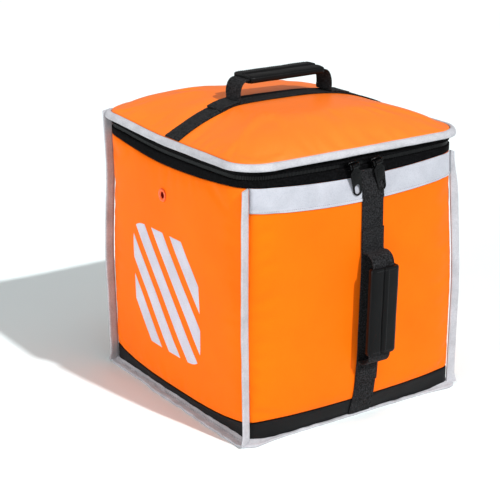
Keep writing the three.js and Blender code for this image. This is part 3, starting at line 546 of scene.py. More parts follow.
def fill_cloth(piece, pinned, cap, slack=0.012):
    """Fills a closed cloth piece by a simulation that moves no point by more than `cap` mm."""
    scene = bpy.context.scene
    group = piece.vertex_groups.new(name="pinned")
    group.add(pinned, 1.0, "REPLACE")
    modifier = piece.modifiers.new("Cloth", "CLOTH")
    settings = {
        "quality": 5,
        "mass": 0.3,
        "tension_stiffness": 20,
        "compression_stiffness": 10,
        "shear_stiffness": 6,
        "bending_stiffness": 1.5,
        "use_pressure": True,
        "uniform_pressure_force": CLOTH_PRESSURE,
        "shrink_min": -slack,
        "vertex_group_mass": "pinned",
    }
    for setting, value in settings.items():
        setattr(modifier.settings, setting, value)
    modifier.settings.effector_weights.gravity = 0
    modifier.point_cache.frame_start = 1
    modifier.point_cache.frame_end = CLOTH_FRAMES
    for number in range(1, CLOTH_FRAMES + 1):
        scene.frame_set(number)
    filled = evaluated(piece).to_mesh()
    count = len(piece.data.vertices)
    after, before = np.zeros(count * 3), np.zeros(count * 3)
    filled.vertices.foreach_get("co", after)
    piece.data.vertices.foreach_get("co", before)
    move = (after - before).reshape(-1, 3)
    length = np.linalg.norm(move, axis=1, keepdims=True)
    limit = cap / 1000
    soft = limit * np.tanh(length / limit)
    move *= soft / np.maximum(length, 1e-9)
    piece.modifiers.remove(modifier)
    piece.vertex_groups.remove(group)
    piece.data.vertices.foreach_set("co", (before.reshape(-1, 3) + move).ravel())
    piece.data.update()
    scene.frame_set(1)


def tree_of(piece):
    mesh = piece.data
    points = [v.co.copy() for v in mesh.vertices]
    return BVHTree.FromPolygons(points, [tuple(p.vertices) for p in mesh.polygons])


def surface(trees, start, direction):
    """How far from `start` along `direction` the first of several surfaces lies, in millimetres."""
    origin, heading = Vector(start) / 1000, Vector(direction)
    hits = [tree.ray_cast(origin, heading)[3] for tree in trees]
    hits = [h for h in hits if h is not None]
    return min(hits) * 1000 if hits else None


# Panels and base.

PANEL_STATIONS = stations(56, 4)
PANEL_ROWS = 60

# How far from its seams a panel's waves reach their full height.
SEAM_FLAT = 14


def gathers(kind, point, *from_seams):
    """Ripples that fade with the distance from one or more seams."""
    layers, stretch, fade = kind
    near = sum(math.exp(-max(0, away) / fade) for away in from_seams)
    return waves(point * np.array(stretch), layers) * near


def pucker(t, z, side, high):
    """Cloth gathered along its seams: small ripples that die away within about 40 mm of them."""
    point = side.along * t + side.out * 500 + UP * z
    beside = gathers(SIDE_GATHERS, point, seam_at(side, z) - abs(t))
    return beside + gathers(END_GATHERS, point, high - z, z - BASE_HEIGHT)


def soft_folds(t, z, side):
    """Broad, shallow undulation of a filled panel."""
    point = side.along * t + side.out * 300 + UP * z
    return waves(point, PANEL_FOLDS) + waves(point * np.array([0.6, 0.6, 1.6]), PANEL_LESSER_FOLDS)


def pierce(piece, start, radius):
    """Cuts a round hole of `radius` through a piece along X, from `start`."""
    ring = np.array([(0, y, z) for y, z in circle(radius, VENT_SIDES)]) + np.array(start)
    points = np.concatenate([ring, ring + np.array([FAR, 0, 0])])
    drill = link_object("drill", mesh_of("drill", points, loft_faces(2, VENT_SIDES)))
    modifier = piece.modifiers.new("Boolean", "BOOLEAN")
    modifier.object = drill
    modifier.operation = "DIFFERENCE"
    cut = bpy.data.meshes.new_from_object(evaluated(piece))
    piece.modifiers.remove(modifier)
    solid, drill_mesh = piece.data, drill.data
    cut.name = solid.name + "_cut"
    piece.data = cut
    bpy.data.objects.remove(drill)
    for mesh in (solid, drill_mesh):
        bpy.data.meshes.remove(mesh)


def panel(name, side, high):
    """A padded panel, its cloth gathered at the seams and filled by a cloth simulation."""
    columns = len(PANEL_STATIONS)

    def pair_at(row, column):
        level, station = row / PANEL_ROWS, PANEL_STATIONS[column]
        share = station_share(side, station)
        low, top = base_top(side, share) + BASE_GAP, high(side, share) - GAP
        z = lerp(low, top, level)
        point = layer_point(side, station, z)
        t = float(np.dot(point, side.along))
        edge = min(level, 1 - level) * (top - low)
        fade = smoothstep(edge, 0, SEAM_FLAT) * smoothstep(seam_at(side, z) - abs(t), 1, SEAM_FLAT)
        lift = (soft_folds(t, z, side) + pucker(t, z, side, top)) * fade
        inset = side.along * GAP * ((column == 0) - (column == columns - 1))
        return point + side.out * lift + inset, layer_point(side, station, z, -WALL) + inset

    rows = PANEL_ROWS + 1
    piece, edge = sheet(name + "_cloth", rows, columns, pair_at, "orange_cloth", sharp=50)
    pinned = edge + list(range(rows * columns, 2 * rows * columns))
    fill_cloth(piece, pinned, PANEL_FILL)
    if side is LEFT:
        pierce(piece, (-FAR, VENT_Y, VENT_Z), VENT_BORE / 2 + VENT_CLEARANCE)
    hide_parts(name)
    return piece


def lid_seat(side, share):
    return LID_SEAT


front_panel = panel("front_panel", FRONT, zip_low)
left_panel = panel("left_panel", LEFT, zip_low)
right_panel = panel("right_panel", RIGHT, zip_low)
back_panel = panel("back_panel", BACK, lid_seat)
for shown in (front_panel, left_panel, right_panel, back_panel):
    subdivide(shown)


def ring_of(point_at, straight=44, arc=4):
    return np.array(
        [point_at(side, station) for side in SIDES for station in stations(straight, arc)[:-1]]
    )


def base():
    """The padded tray, whose band turns up round the foot of the panels."""

    def wall(z_at, out):
        def point(side, station):
            share = station_share(side, station)
            z = z_at(side, share)
            placed = layer_point(side, station, z, out)
            inside = smoothstep(z, 2, 12) * smoothstep(1 - share, 0, 0.06)
            return placed + side.out * waves(placed, BASE_WAVES) * inside * (out == 0)

        return ring_of(point)

    outer = [
        wall(lambda s, k: 0.0, -1.5),
        wall(lambda s, k: 0.0, 0),
        wall(lambda s, k: FIN_THICKNESS, 0),
        *[wall(lambda s, k, part=part: lerp(FIN_THICKNESS, base_top(s, k), part), 0)
          for part in (0.2, 0.4, 0.6, 0.8, 0.93)],
        wall(base_top, -0.5),
    ]
    inner = [
        wall(base_top, -WALL + 0.5),
        wall(lambda s, k: FLOOR + 3.0, -WALL),
        wall(lambda s, k: FLOOR, -WALL - 3),
    ]
    piece = loft("base_tray_cloth", outer + inner, "base_cloth", sharp=60)
    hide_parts("base_tray")
    return piece


base_tray = base()


def stitch_row(name, line, normal, finish, sizes):
    """A row of thread stitches along a polyline, standing off a surface along `normal`."""
    pitch, length, width, height = sizes
    line, normal = np.asarray(line, float), np.asarray(normal, float)
    run = distances(line)
    points, faces = [], []
    for start in np.arange(pitch / 2, run[-1] - length, pitch):
        a, b = points_at([start, start + length], run, line)
        side = np.cross((b - a) / max(np.linalg.norm(b - a), 1e-6), normal)
        first = len(points)
        for share, size in STITCH_RINGS:
            lift = height * (0.4 if share in (0, 1) else 1)
            for c, s in circle(size, STITCH_SIDES):
                points.append(lerp(a, b, share) + side * c * width / 2 + normal * (0.3 * s + lift))
        for face in loft_faces(len(STITCH_RINGS), STITCH_SIDES):
            faces.append(tuple(first + k for k in face))
    add_piece(name, points, faces, finish, sharp=60)


# Bound seams.


def fin_section(thickness, reach, root):
    """Section of a folded tape: (out, up) points round it, from the seam at `root` to its nose."""
    nose = thickness / 2
    fold = [
        (reach - nose + nose * math.sin(a), nose - nose * math.cos(a))
        for a in np.linspace(0, math.pi, 7)
    ]
    spots = [lerp(root, reach - nose, k) for k in (0.15, 0.35, 0.5, 0.8)]
    low = [(x, 0.0) for x in spots]
    high = [(x, thickness) for x in reversed(spots)]
    return [(root, thickness * 0.2), *low, *fold, *high, (root, thickness * 0.8)]


def upright_fin(name, sign_x, sign_y, high, lean, taper):
    """The bound seam of one upright edge: a flat folded tape, a little wavy, its top cut askew."""
    side = LEFT if sign_x < 0 else RIGHT
    end = sign_y * side.along[1]
    seed = 3.0 * sign_x + 7.0 * sign_y
    section = fin_section(FIN_THICKNESS, FIN_LENGTH, LAY)
    loops = []
    for z in np.linspace(FIN_THICKNESS + GAP, high, 90):
        t = end * seam_at(side, z)
        seam = side.along * t + side.out * reach_at(side, t, z) + UP * z
        sway = waves((0, 0, z), UPRIGHT_SWAY, seed)
        width = 1 + 0.05 * ripple((0, 0, z), 60, seed + 5)
        pinch = 1 + 0.2 * ripple((0, 0, z), 14, seed + 9)
        width *= 1 - taper * smoothstep(z, high - FIN_TAPERS_OVER, high)
        foot = 1 - smoothstep(z, FIN_THICKNESS, FIN_FOOT)
        width *= 1 + 0.2 * foot
        sway += foot * (1.5 + 1.2 * ripple((0, 0, z), 6, seed + 4))
        loop = []
        for out, through in section:
            k = out / FIN_LENGTH
            x = sign_x * (out * width - FIN_TUCK * (1 - k) * smoothstep(z, ZIP_LOW, ZIP_LOW + 2))
            across = (through - FIN_THICKNESS / 2) * pinch + FIN_THICKNESS / 2
            y = sign_y * (across + sway * k * k + lean * out)
            slant = -2.5 * k * smoothstep(z, high - 8, high)
            loop.append(seam + np.array([x, y, slant]))
        loops.append(loop)
    piece = loft(name + "_tape", loops, "binding_tape", sharp=60)
    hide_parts(name)


for fin_name, fin_x, fin_y, fin_high, fin_lean, fin_taper in (
    ("edge_binding_front_left", -1, -1, ZIP_LOW, 0.36, 0.1),
    ("edge_binding_front_right", 1, -1, ZIP_LOW, 0.05, 0.5),
    ("edge_binding_back_left", -1, 1, RIM_TOP, 0, 0),
    ("edge_binding_back_right", 1, 1, RIM_TOP, 0, 0),
):
    upright_fin(fin_name, fin_x, fin_y, fin_high, fin_lean, fin_taper)


def floor_seam():
    """The base's bound seam, flattened and rumpled where the bag stands on it."""

    def ring(out, height):
        nose = out > 0.9

        def point(side, station):
            share = station_share(side, station)
            fin = lerp(side.floor_fin, FLOOR_FIN, share**6)
            placed = layer_point(side, station, 0.0, 0.0)
            rough = waves(placed, FLOOR_TAPE_WAVES)
            if side is LEFT:
                rough += FLOOR_LAP * (1 - smoothstep(placed[1], FLOOR_LAP_Y, FLOOR_LAP_Y + 3))
            if side is FRONT:
                rough *= 0.4
            reach = LAY + (fin - LAY + rough * out) * min(out, 1.0)
            steep = smoothstep(fin, FRONT_FLOOR_FIN, FLOOR_FIN) * (1 + 0.3 * ripple(placed, 44, 3.6))
            z = height * (1 + 0.35 * ripple(placed, 14, 1.9)) if height > 1 else height
            z += FLOOR_FIN_RISE * steep * (1 - min(out, 1.0)) ** 1.5
            if nose:
                reach = LAY + (fin - LAY + rough) - (1.0 - out) * FIN_THICKNESS
            return layer_point(side, station, 0.0, reach) + UP * max(0.0, z)

        return ring_of(point, 120, 4)

    nose = FIN_THICKNESS / 2
    loops = [
        ring(0.0, 0.4), ring(0.3, 0.0), ring(0.7, 0.0), ring(0.9, 0.0), ring(0.97, 0.5), ring(1.0, nose),
        ring(0.97, 3.1), ring(0.9, 3.6), ring(0.6, 3.3), ring(0.45, 2.9), ring(0.3, 3.4), ring(0.0, 3.2),
    ]
    piece = loft("floor_binding_tape", loops, "binding_tape", closed=True, sharp=70)
    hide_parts("floor_binding")
    tree = tree_of(piece)
    for row, middle in (("upper", 6.0), ("lower", 3.2)):
        line = []
        for number, y in enumerate(np.arange(-182, 184, FLOOR_STITCH[0])):
            z = middle + FLOOR_ZIGZAG * (1 if number % 2 else -1)
            line.append([surface([tree], (-FAR, y, z), (1, 0, 0)) - FAR, y, z])
        stitch_row(f"floor_{row}_stitches", line, (-1, 0, 0), "grey_thread", FLOOR_STITCH)


floor_seam()


def round_the_front(section_at, straight=44):
    """Loops from the back-left seam round the front to the back-right one."""
    last = SEAM_ANGLE - (GAP + LAY) / EDGE_RADIUS
    inner = stations(straight, 8)[1:-1]
    loops = [section_at(LEFT, (-1, last))]
    loops += [section_at(LEFT, s) for s in inner]
    loops += [section_at(FRONT, s) for s in stations(straight, 8)]
    loops += [section_at(RIGHT, s) for s in inner]
    loops.append(section_at(RIGHT, (1, last)))
    limit = seam_at(RIGHT, LID_SEAT) - GAP
    loops = [np.asarray(loop, float) for loop in loops]
    for loop in loops:
        loop[:, 1] = np.minimum(loop[:, 1], limit)
    return loops


TAPE_OUTS, COIL_OUTS = (0, -TAPE_DEPTH), (-COIL_RECESS - 1.2, -COIL_RECESS - COIL_DEPTH)
BAND_LEVELS = (0, 0.04, 0.25, 0.5, 0.75, 0.96, 1)


def zip_band(name, low, high, outs, wave=0.0):
    """One of the zip's bands, between the heights low(side, share) and high(side, share)."""

    def section(side, station):
        share = station_share(side, station)
        levels = [lerp(low(side, share), high(side, share), k) for k in BAND_LEVELS]
        face = []
        for z in levels:
            inset = 0.6 if z in (levels[0], levels[-1]) else 0.0
            placed = layer_point(side, station, z, outs[0] - inset)
            face.append(placed + side.out * wave * ripple(placed, 30, 7.7))
        return face + [layer_point(side, station, z, outs[1]) for z in reversed(levels)]

    piece = loft(name + "_cloth", round_the_front(section), "zip_cloth", sharp=60)
    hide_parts(name)


def coil_low(side, share):
    return zip_middle(share) - COIL_HEIGHT / 2


def coil_high(side, share):
    return zip_middle(share) + COIL_HEIGHT / 2


zip_band("zip_tape_lower", zip_low, lambda s, k: coil_low(s, k) - GAP, TAPE_OUTS, 0.5)
zip_band("zip_tape_upper", lambda s, k: coil_high(s, k) + GAP, lambda s, k: LID_SEAT - GAP, TAPE_OUTS, 0.4)
zip_band("zip_coil", coil_low, coil_high, COIL_OUTS)

# One tooth's section, how far along the zip and how far out each corner lies, and the teeth's pitch.
# Then how far the first and last stand from the zip's ends, and how far they shift up and down.
TOOTH, TOOTH_PITCH = [(-0.62, 0.0), (-0.5, 0.9), (0.5, 0.9), (0.62, 0.0)], 2.2
TEETH_FROM_END, TOOTH_SHIFT = 4, 0.35


def zip_teeth():
    """The coil's teeth, one small rounded bar after another along the whole zip."""
    half_height = COIL_HEIGHT / 2 - 0.4

    def on_coil(side, station):
        return layer_point(side, station, zip_middle(station_share(side, station)), COIL_OUTS[0])

    line = np.array(round_the_front(lambda side, station: [on_coil(side, station)], 60))[:, 0]
    run = distances(line)
    places = np.arange(TEETH_FROM_END, run[-1] - TEETH_FROM_END, TOOTH_PITCH)
    ahead = points_at(places + 0.5, run, line)
    points, faces = [], []
    for number, (centre, after) in enumerate(zip(points_at(places, run, line), ahead)):
        along = unit(after - centre)
        out = np.cross(along, UP)
        shift = TOOTH_SHIFT * (1 if number % 2 else -1)
        faces += box_faces(len(points))
        for z in (shift - half_height, shift + half_height):
            points += [centre + along * a + out * o + UP * z for a, o in TOOTH]
    add_piece("zip_teeth", points, faces, "zip_teeth", sharp=30)


zip_teeth()


# Lid.


def curve_at(spots, values, at):
    """A smooth curve through values at rising spots."""
    k = int(np.clip(np.searchsorted(spots, at, side="right") - 1, 0, len(spots) - 2))
    slopes = np.gradient(values, spots)
    span = spots[k + 1] - spots[k]
    w = (at - spots[k]) / span
    w2, w3 = w * w, w * w * w
    return (
        (2 * w3 - 3 * w2 + 1) * values[k]
        + (w3 - 2 * w2 + w) * span * slopes[k]
        + (3 * w2 - 2 * w3) * values[k + 1]
        + (w3 - w2) * span * slopes[k + 1]
    )


def dome_rise(out, x, y):
    """The lid's height above its rim: `out` is the share of the way from its middle to the rim."""
    across, along = abs(x) / RIGHT.reach, abs(y) / FRONT.reach
    flank = smoothstep(across / max(across + along, 1e-6), *FLANK_SPAN)
    rise = lerp(curve_at(DOME_OUT, DOME_FRONT, out), curve_at(DOME_OUT, DOME_FLANK, out), flank)
    return DOME * rise * (1 - DOME_LEAN * x / RIGHT.reach)


def lid():
    """The padded lid: a filled dome whose cloth is drawn in along the rim."""
    shares = [1, 0.985, 0.97, 0.95, 0.93, 0.905, 0.88, 0.85, 0.82, 0.785, 0.75, 0.71, 0.67, 0.62,
              0.57, 0.52, 0.46, 0.4, 0.34, 0.28, 0.22, 0.16, 0.1, 0.05]

    def ring(share, out, foot):
        def point(side, station):
            rim = layer_point(side, station, float(LID_SEAT), out)
            placed = rim * share
            inward = 1 - share
            near_rim = math.exp(-inward * 9) * smoothstep(inward, 0, 0.03)
            fold = waves(rim, LID_GATHERS) * near_rim
            broad = waves((placed[0], placed[1], 900), LID_FOLDS) * smoothstep(inward, 0, 0.12)
            lift = (fold + broad) if out == 0 else 0
            return np.array([placed[0], placed[1], foot + dome_rise(share, placed[0], placed[1]) + lift])

        return ring_of(point, 40, 6)

    above = [ring(k, 0, RIM_TOP) for k in shares]
    below = [ring(k, -WALL, LID_SEAT) for k in reversed(shares)]
    side_wall = [ring(1, 0, LID_SEAT), ring(1, 0, LID_SEAT + 5)]
    loops = below + side_wall + above
    # The lid takes the lighter copy of the orange cloth, painted lighter for the light from above.
    piece = loft("lid_cloth", loops, "top_cloth", sharp=60)
    count = len(loops[0])
    pinned = list(range(count * (len(below) + 4)))
    fill_cloth(piece, pinned, PANEL_FILL)
    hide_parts("lid")
    return piece


lid_piece = lid()
subdivide(lid_piece)


def lid_seam():
    """The lid's bound seam: a folded tape that leans out over the zip."""
    section = [
        (0.4, 0.0), (2.4, 0.9), (5.0, 0.2), (7.2, -1.8), (8.8, -4.6), (9.2, -7.2), (8.6, -8.8),
        (7.0, -9.2), (5.4, -8.4), (4.6, -6.4), (3.0, -4.6), (0.4, -5.0),
    ]

    def at(side, station):
        rim = layer_point(side, station, float(LID_SEAT), 0.0)
        sway = waves(rim, LID_TAPE_SWAY)
        loop = []
        for out, down in section:
            k = out / 9
            placed = layer_point(side, station, float(LID_SEAT), out + 0.5 * sway * k)
            placed[2] = RIM_TOP + down * (1 + 0.06 * sway) + 0.6 * sway * (1 - k)
            loop.append(placed)
        return loop

    piece = loft("lid_binding_tape", round_the_front(at, 90), "binding_tape", sharp=75)
    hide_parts("lid_binding")


lid_seam()


# Strip, straps.


def strap_x(z):
    return lerp(STRAP_X_FOOT, STRAP_X_TOP, min(1.0, z / STRAP_STRAIGHT_FROM))


def strip_low(share):
    return zip_low(FRONT, share) - STRIP_HEIGHT


front_trees = [tree_of(front_panel), tree_of(base_tray)]


def face_y(trees, x, z):
    """The front's outermost surface at (x, z), as a distance in front of the middle plane."""
    hit = surface(trees, (x, -FAR, z), (0, 1, 0))
    return None if hit is None else FAR - hit


def reflective_strip():
    """The strip across the front's top, with a hem along its foot and a tuck at its left end."""
    last = SEAM_ANGLE - LAY / EDGE_RADIUS
    columns = [(-1, last), *stations(90, 4)[1:-1], (1, last)]
    levels = [0, 0.02, 0.1, 0.13, 0.2, 0.35, 0.5, 0.65, 0.8, 0.92, 1]

    def pair_at(row, column):
        level, station = levels[row], columns[column]
        share = station_share(FRONT, station)
        z = lerp(strip_low(share), zip_low(FRONT, share) - GAP, level)
        t = station_t(FRONT, station, z)
        found = face_y(front_trees[:1], t, z) if abs(t) < STRIP_LAID_TO else None
        reach = max(float(reach_at(FRONT, t, z)), found or 0)
        hem = 0.7 * (level <= 0.1) - 0.4 * (0.1 < level < 0.2)
        from_fold = t - FOLD_X + (z - FOLD_Z) * FOLD_SLANT
        tuck = FOLD_HEIGHT * math.exp(-(from_fold**2) / FOLD_SPREAD)
        tuck *= smoothstep(level, 0, 0.25) * (1 - smoothstep(level, 0.5, 0.95))
        wave = waves((t, 0, z * 1.4), STRIP_WAVES)
        lift = STRIP_THICKNESS + hem + wave * smoothstep(level, 0.05, 0.4) + tuck
        if level in (0, 1):
            lift = STRIP_THICKNESS * 0.5
        place = FRONT.along * t + UP * z
        outer = place + FRONT.out * (reach + LAY * 0.6 + max(0.6, lift))
        return outer, place + FRONT.out * (reach + LAY * 0.4)

    piece, _ = sheet(
        "reflective_strip_film", len(levels), len(columns), pair_at, "reflective_film", sharp=60
    )
    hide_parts("reflective_strip")
    return piece


strip_piece = reflective_strip()
strap_trees = front_trees + [tree_of(strip_piece)]


def webbing_section(width, thickness):
    """Section of a flat woven strap with rounded, slightly raised edges: (wide, thick)."""
    half, t = width / 2, thickness
    return [
        (-half, 0.3 * t), (-half + 0.5, 0.0), (-half * 0.5, 0.0), (0, 0.0), (half * 0.5, 0.0),
        (half - 0.5, 0.0), (half, 0.3 * t), (half, 0.75 * t), (half - 0.8, t * 1.04),
        (half - 2.5, t), (half * 0.5, t * 0.95), (0, t * 0.93), (-half * 0.5, t * 0.95),
        (-half + 2.5, t), (-half + 0.8, t * 1.04), (-half, 0.75 * t),
    ]


# Across the webbing, where its bed is measured.
BED = (-17, -8, 0, 8, 17)


def front_strap():
    """The webbing down the front, laid on the panel, the strip and the base band."""
    top = ZIP_MIDDLE - ZIP_MIDDLE_SAG - STRAP_BELOW_ZIP - LAY
    section = webbing_section(WEBBING, WEBBING_THICKNESS)
    heights = np.linspace(FIN_THICKNESS + LAY, top, 110)
    rows = []
    for z in heights:
        x = strap_x(z)
        sides = [face_y(strap_trees, x + dx, z) for dx in BED]
        rows.append([s if s is not None else float(reach_at(FRONT, x, z)) + 2 for s in sides])
    rows = np.array(rows)
    kernel = np.array([1, 2, 3, 2, 1]) / 9
    smooth = np.array([np.convolve(np.pad(c, 2, "edge"), kernel, "valid") for c in rows.T]).T
    rows = np.maximum(smooth, rows)
    loops = []
    for z, row in zip(heights, rows):
        x = strap_x(z)
        loop = []
        for wide, thick in section:
            reach = float(np.interp(wide, BED, row))
            loop.append([x + wide, -(reach + LAY * 0.6 + thick), z])
        loops.append(loop)
    piece = loft("front_strap_webbing", loops, "black_webbing", sharp=50)
    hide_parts("front_strap")
    return piece


front_strap_piece = front_strap()
lid_trees = [tree_of(lid_piece)]


def top_z(trees, x, y):
    hit = surface(trees, (x, y, FAR), (0, 0, -1))
    return None if hit is None else FAR - hit


def top_strap():
    """The webbing over the lid from rim to rim."""
    section = webbing_section(WEBBING, WEBBING_THICKNESS)
    reach = float(reach_at(RIGHT, 0, LID_SEAT)) - 0.8
    loops = []
    for x in np.linspace(-reach, reach, 120):
        loop = []
        for wide, thick in section:
            y = TOP_STRAP_Y + wide
            z = top_z(lid_trees, x, y)
            z = RIM_TOP if z is None else z
            loop.append([x, y, z + LAY * 0.8 + thick])
        loops.append(loop)
    piece = loft("top_strap_webbing", loops, "black_webbing", sharp=50)
    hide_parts("top_strap")
    return piece


top_strap_piece = top_strap()


# Handles.

HANDLE_ROUTE = [(0.5, 0.95), (0.8, 0.8), (1, 0.52), (1.03, 0.27), (0.99, 0.1), (1.06, 0.02)]
HANDLE_SEWN, HANDLE_STEPS = 34, 120
GRIP_WIDTH, GRIP_THICKNESS, GRIP_HOLLOW = 48, 12, (21.5, 2.6)
FRONT_WRAP_LENGTH = 129
TOP_GRIP_LENGTH, TOP_GRIP_LIFT, TOP_HANDLE_X, TOP_HANDLE_FOOT, TOP_STRAP_LAY = 130, 33, -3, 81, 0.8
FRONT_GRIP_LENGTH, FRONT_GRIP_LIFT, FRONT_HANDLE_MIDDLE, FRONT_HANDLE_FOOT = 122, 27, 174, 82


def handle_route(foot, grip_length):
    """(run, lift) along a whole handle, foot to foot."""
    end = grip_length / 2
    half = [(end * 0.5, 1), (end, 1)]
    half += [(lerp(end, foot, run), lift) for run, lift in HANDLE_ROUTE]
    half += [(foot + HANDLE_SEWN * k, 0) for k in (0.33, 0.67, 1)]
    return [(-run, lift) for run, lift in reversed(half)] + half


def smooth_path(points, count):
    """A centripetal Catmull-Rom curve through the points, at `count` + 1 even parameters."""
    points = [np.asarray(p, float) for p in points]
    points = [2 * points[0] - points[1], *points, 2 * points[-1] - points[-2]]
    spans = len(points) - 3
    made = []
    for number in range(count + 1):
        at = min(number / count * spans, spans - 1e-9)
        k = int(at)
        p0, p1, p2, p3 = points[k : k + 4]
        pairs = ((p0, p1), (p1, p2), (p2, p3))
        d0, d1, d2 = (max(np.linalg.norm(b - a), 1e-6) ** 0.5 for a, b in pairs)
        m1 = ((p1 - p0) / d0 - (p2 - p0) / (d0 + d1) + (p2 - p1) / d1) * d1
        m2 = ((p2 - p1) / d1 - (p3 - p1) / (d1 + d2) + (p3 - p2) / d2) * d1
        w = at - k
        made.append(
            p1 + m1 * w + (-3 * p1 + 3 * p2 - 2 * m1 - m2) * w**2 + (2 * p1 - 2 * p2 + m1 + m2) * w**3
        )
    return made


def frames_along(path, across):
    """(point, sideways, normal) at each point of a path, `across` being about sideways."""
    frames = []
    for i, point in enumerate(path):
        heading = unit(path[min(i + 1, len(path) - 1)] - path[max(i - 1, 0)])
        normal = unit(np.cross(heading, across))
        frames.append((point, np.cross(normal, heading), normal))
    return frames


def band(name, path, across, width):
    """Webbing along a path, its width along `across`."""
    section = [(wide, thick - WEBBING_THICKNESS / 2)
               for wide, thick in webbing_section(width, WEBBING_THICKNESS)]
    loops = [
        [point + sideways * wide + normal * thick for wide, thick in section]
        for point, sideways, normal in frames_along(path, across)
    ]
    return loft(name, loops, "black_webbing", sharp=50)


def grip(name, middle, along, across, length, replaced):
    """A wrap of leatherette round the webbing: a flat sleeve whose free edge laps over its face."""
    middle, along, across = (np.asarray(v, float) for v in (middle, along, across))
    outward = np.cross(across, along)
    outward *= 1 if outward[2] - outward[1] > 0 else -1
    half_width, half_height = GRIP_WIDTH / 2, GRIP_THICKNESS / 2
    front = np.sin(np.linspace(-0.497, 0.497, 61) * math.pi)
    behind = np.sin(np.linspace(0.49, -0.49, 21) * math.pi)
    section = [(w, (1 - w**4) ** 0.25) for w in front] + [(w, -((1 - w**4) ** 0.25)) for w in behind]
    loops = []
    for level in [0, 0.006, 0.02, 0.06, *np.linspace(0.12, 0.88, 16), 0.94, 0.98, 0.994, 1]:
        at = (level - 0.5) * length
        rolled = 0.93 + 0.07 * smoothstep(min(level, 1 - level) * length, 0, 2.5)
        loop = []
        for w, height in section:
            wide, thick = w * half_width, height * half_height
            body = 0.7 * ripple((wide, at, 20 * height), 24, 3.9)
            if height > 0:
                body += 1.3 * smoothstep(wide, -0.6, 0.8) - 2.0 * math.exp(-((wide + 1.4) ** 2) / 3.5)
            point = middle + along * at + across * wide * rolled
            loop.append(point + outward * (thick + body * (1 if height > 0 else 0.4)) * rolled)
        loops.append(loop)
    inner, (wide, thick) = [], GRIP_HOLLOW
    for level in (1, 0.97, 0.5, 0.03, 0):
        core = middle + along * (level - 0.5) * length
        inner.append([core + across * w * wide + outward * h * thick for w, h in section])
    piece = loft(name, loops + inner, "grip_leather", closed=True, sharp=50)
    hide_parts(replaced)
    cover = tree_of(piece)
    lengthwise, crosswise = np.linspace(-0.47, 0.47, 60), np.linspace(-18, 18, 24)
    rows = {
        "lap": [(4.5, at) for at in lengthwise],
        "edge": [(GRIP_WIDTH / 2 - 4, at) for at in lengthwise],
        "first": [(wide, -0.47) for wide in crosswise],
        "last": [(wide, 0.47) for wide in crosswise],
    }
    for row, spots in rows.items():
        line = []
        for wide, at in spots:
            start = middle + along * at * length + across * wide + outward * GRIP_WIDTH
            line.append(start - outward * surface([cover], start, -outward))
        stitch_row(f"{name}_{row}_stitches", line, outward, "dark_thread", GRIP_STITCH)


def handle(name, foot, grip_length, point_at, across):
    """A carrying handle's webbing, whose route point_at(run, lift) places."""
    points = [point_at(run, lift) for run, lift in handle_route(foot, grip_length)]
    piece = band(f"{name}_webbing_band", smooth_path(points, HANDLE_STEPS), across, WEBBING)
    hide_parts(f"{name}_webbing")
    return piece


def top_handle():
    sewn = TOP_STRAP_LAY + WEBBING_THICKNESS * 1.5 + LAY
    grip_z = RIM_TOP + DOME + sewn + TOP_GRIP_LIFT
    strap_tree = [tree_of(top_strap_piece)]

    def point_at(run, lift):
        x = TOP_HANDLE_X + run
        laid = top_z(strap_tree, x, TOP_STRAP_Y) + WEBBING_THICKNESS / 2 + LAY
        return [x, TOP_STRAP_Y, lerp(laid, grip_z, lift)]

    handle("top_handle", TOP_HANDLE_FOOT, TOP_GRIP_LENGTH, point_at, (0, 1, 0))
    grip("top_handle_grip_wrap", (TOP_HANDLE_X, TOP_STRAP_Y, grip_z), (1, 0, 0), (0, 1, 0),
         TOP_GRIP_LENGTH, "top_handle_grip")


def front_handle():
    middle_x = strap_x(FRONT_HANDLE_MIDDLE)
    strap_tree = [tree_of(front_strap_piece)]
    cad_lift = LAY + WEBBING_THICKNESS * 1.5 + LAY
    grip_reach = float(reach_at(FRONT, middle_x, FRONT_HANDLE_MIDDLE)) + cad_lift + FRONT_GRIP_LIFT

    def point_at(run, lift):
        z = FRONT_HANDLE_MIDDLE + run
        x = strap_x(z)
        laid = face_y(strap_tree, x, z) + WEBBING_THICKNESS / 2 + LAY
        return [x, -lerp(laid, grip_reach, lift), z]

    webbing = handle("front_handle", FRONT_HANDLE_FOOT, FRONT_GRIP_LENGTH, point_at, (1, 0, 0))
    half = FRONT_GRIP_LENGTH / 2
    lean = strap_x(FRONT_HANDLE_MIDDLE + half) - strap_x(FRONT_HANDLE_MIDDLE - half)
    grip("front_handle_grip_wrap", (middle_x, -grip_reach, FRONT_HANDLE_MIDDLE + 1),
         unit((lean, 0, FRONT_GRIP_LENGTH)), (1, 0, 0), FRONT_WRAP_LENGTH, "front_handle_grip")
    return webbing


top_handle()
front_handle_piece = front_handle()


# Eyelet, film, stitches.


left_trees = [tree_of(left_panel)]


def left_face(y, z):
    """How far the left panel's face lies from the bag's middle plane."""
    return FAR - surface(left_trees, (-FAR, y, z), (1, 0, 0))


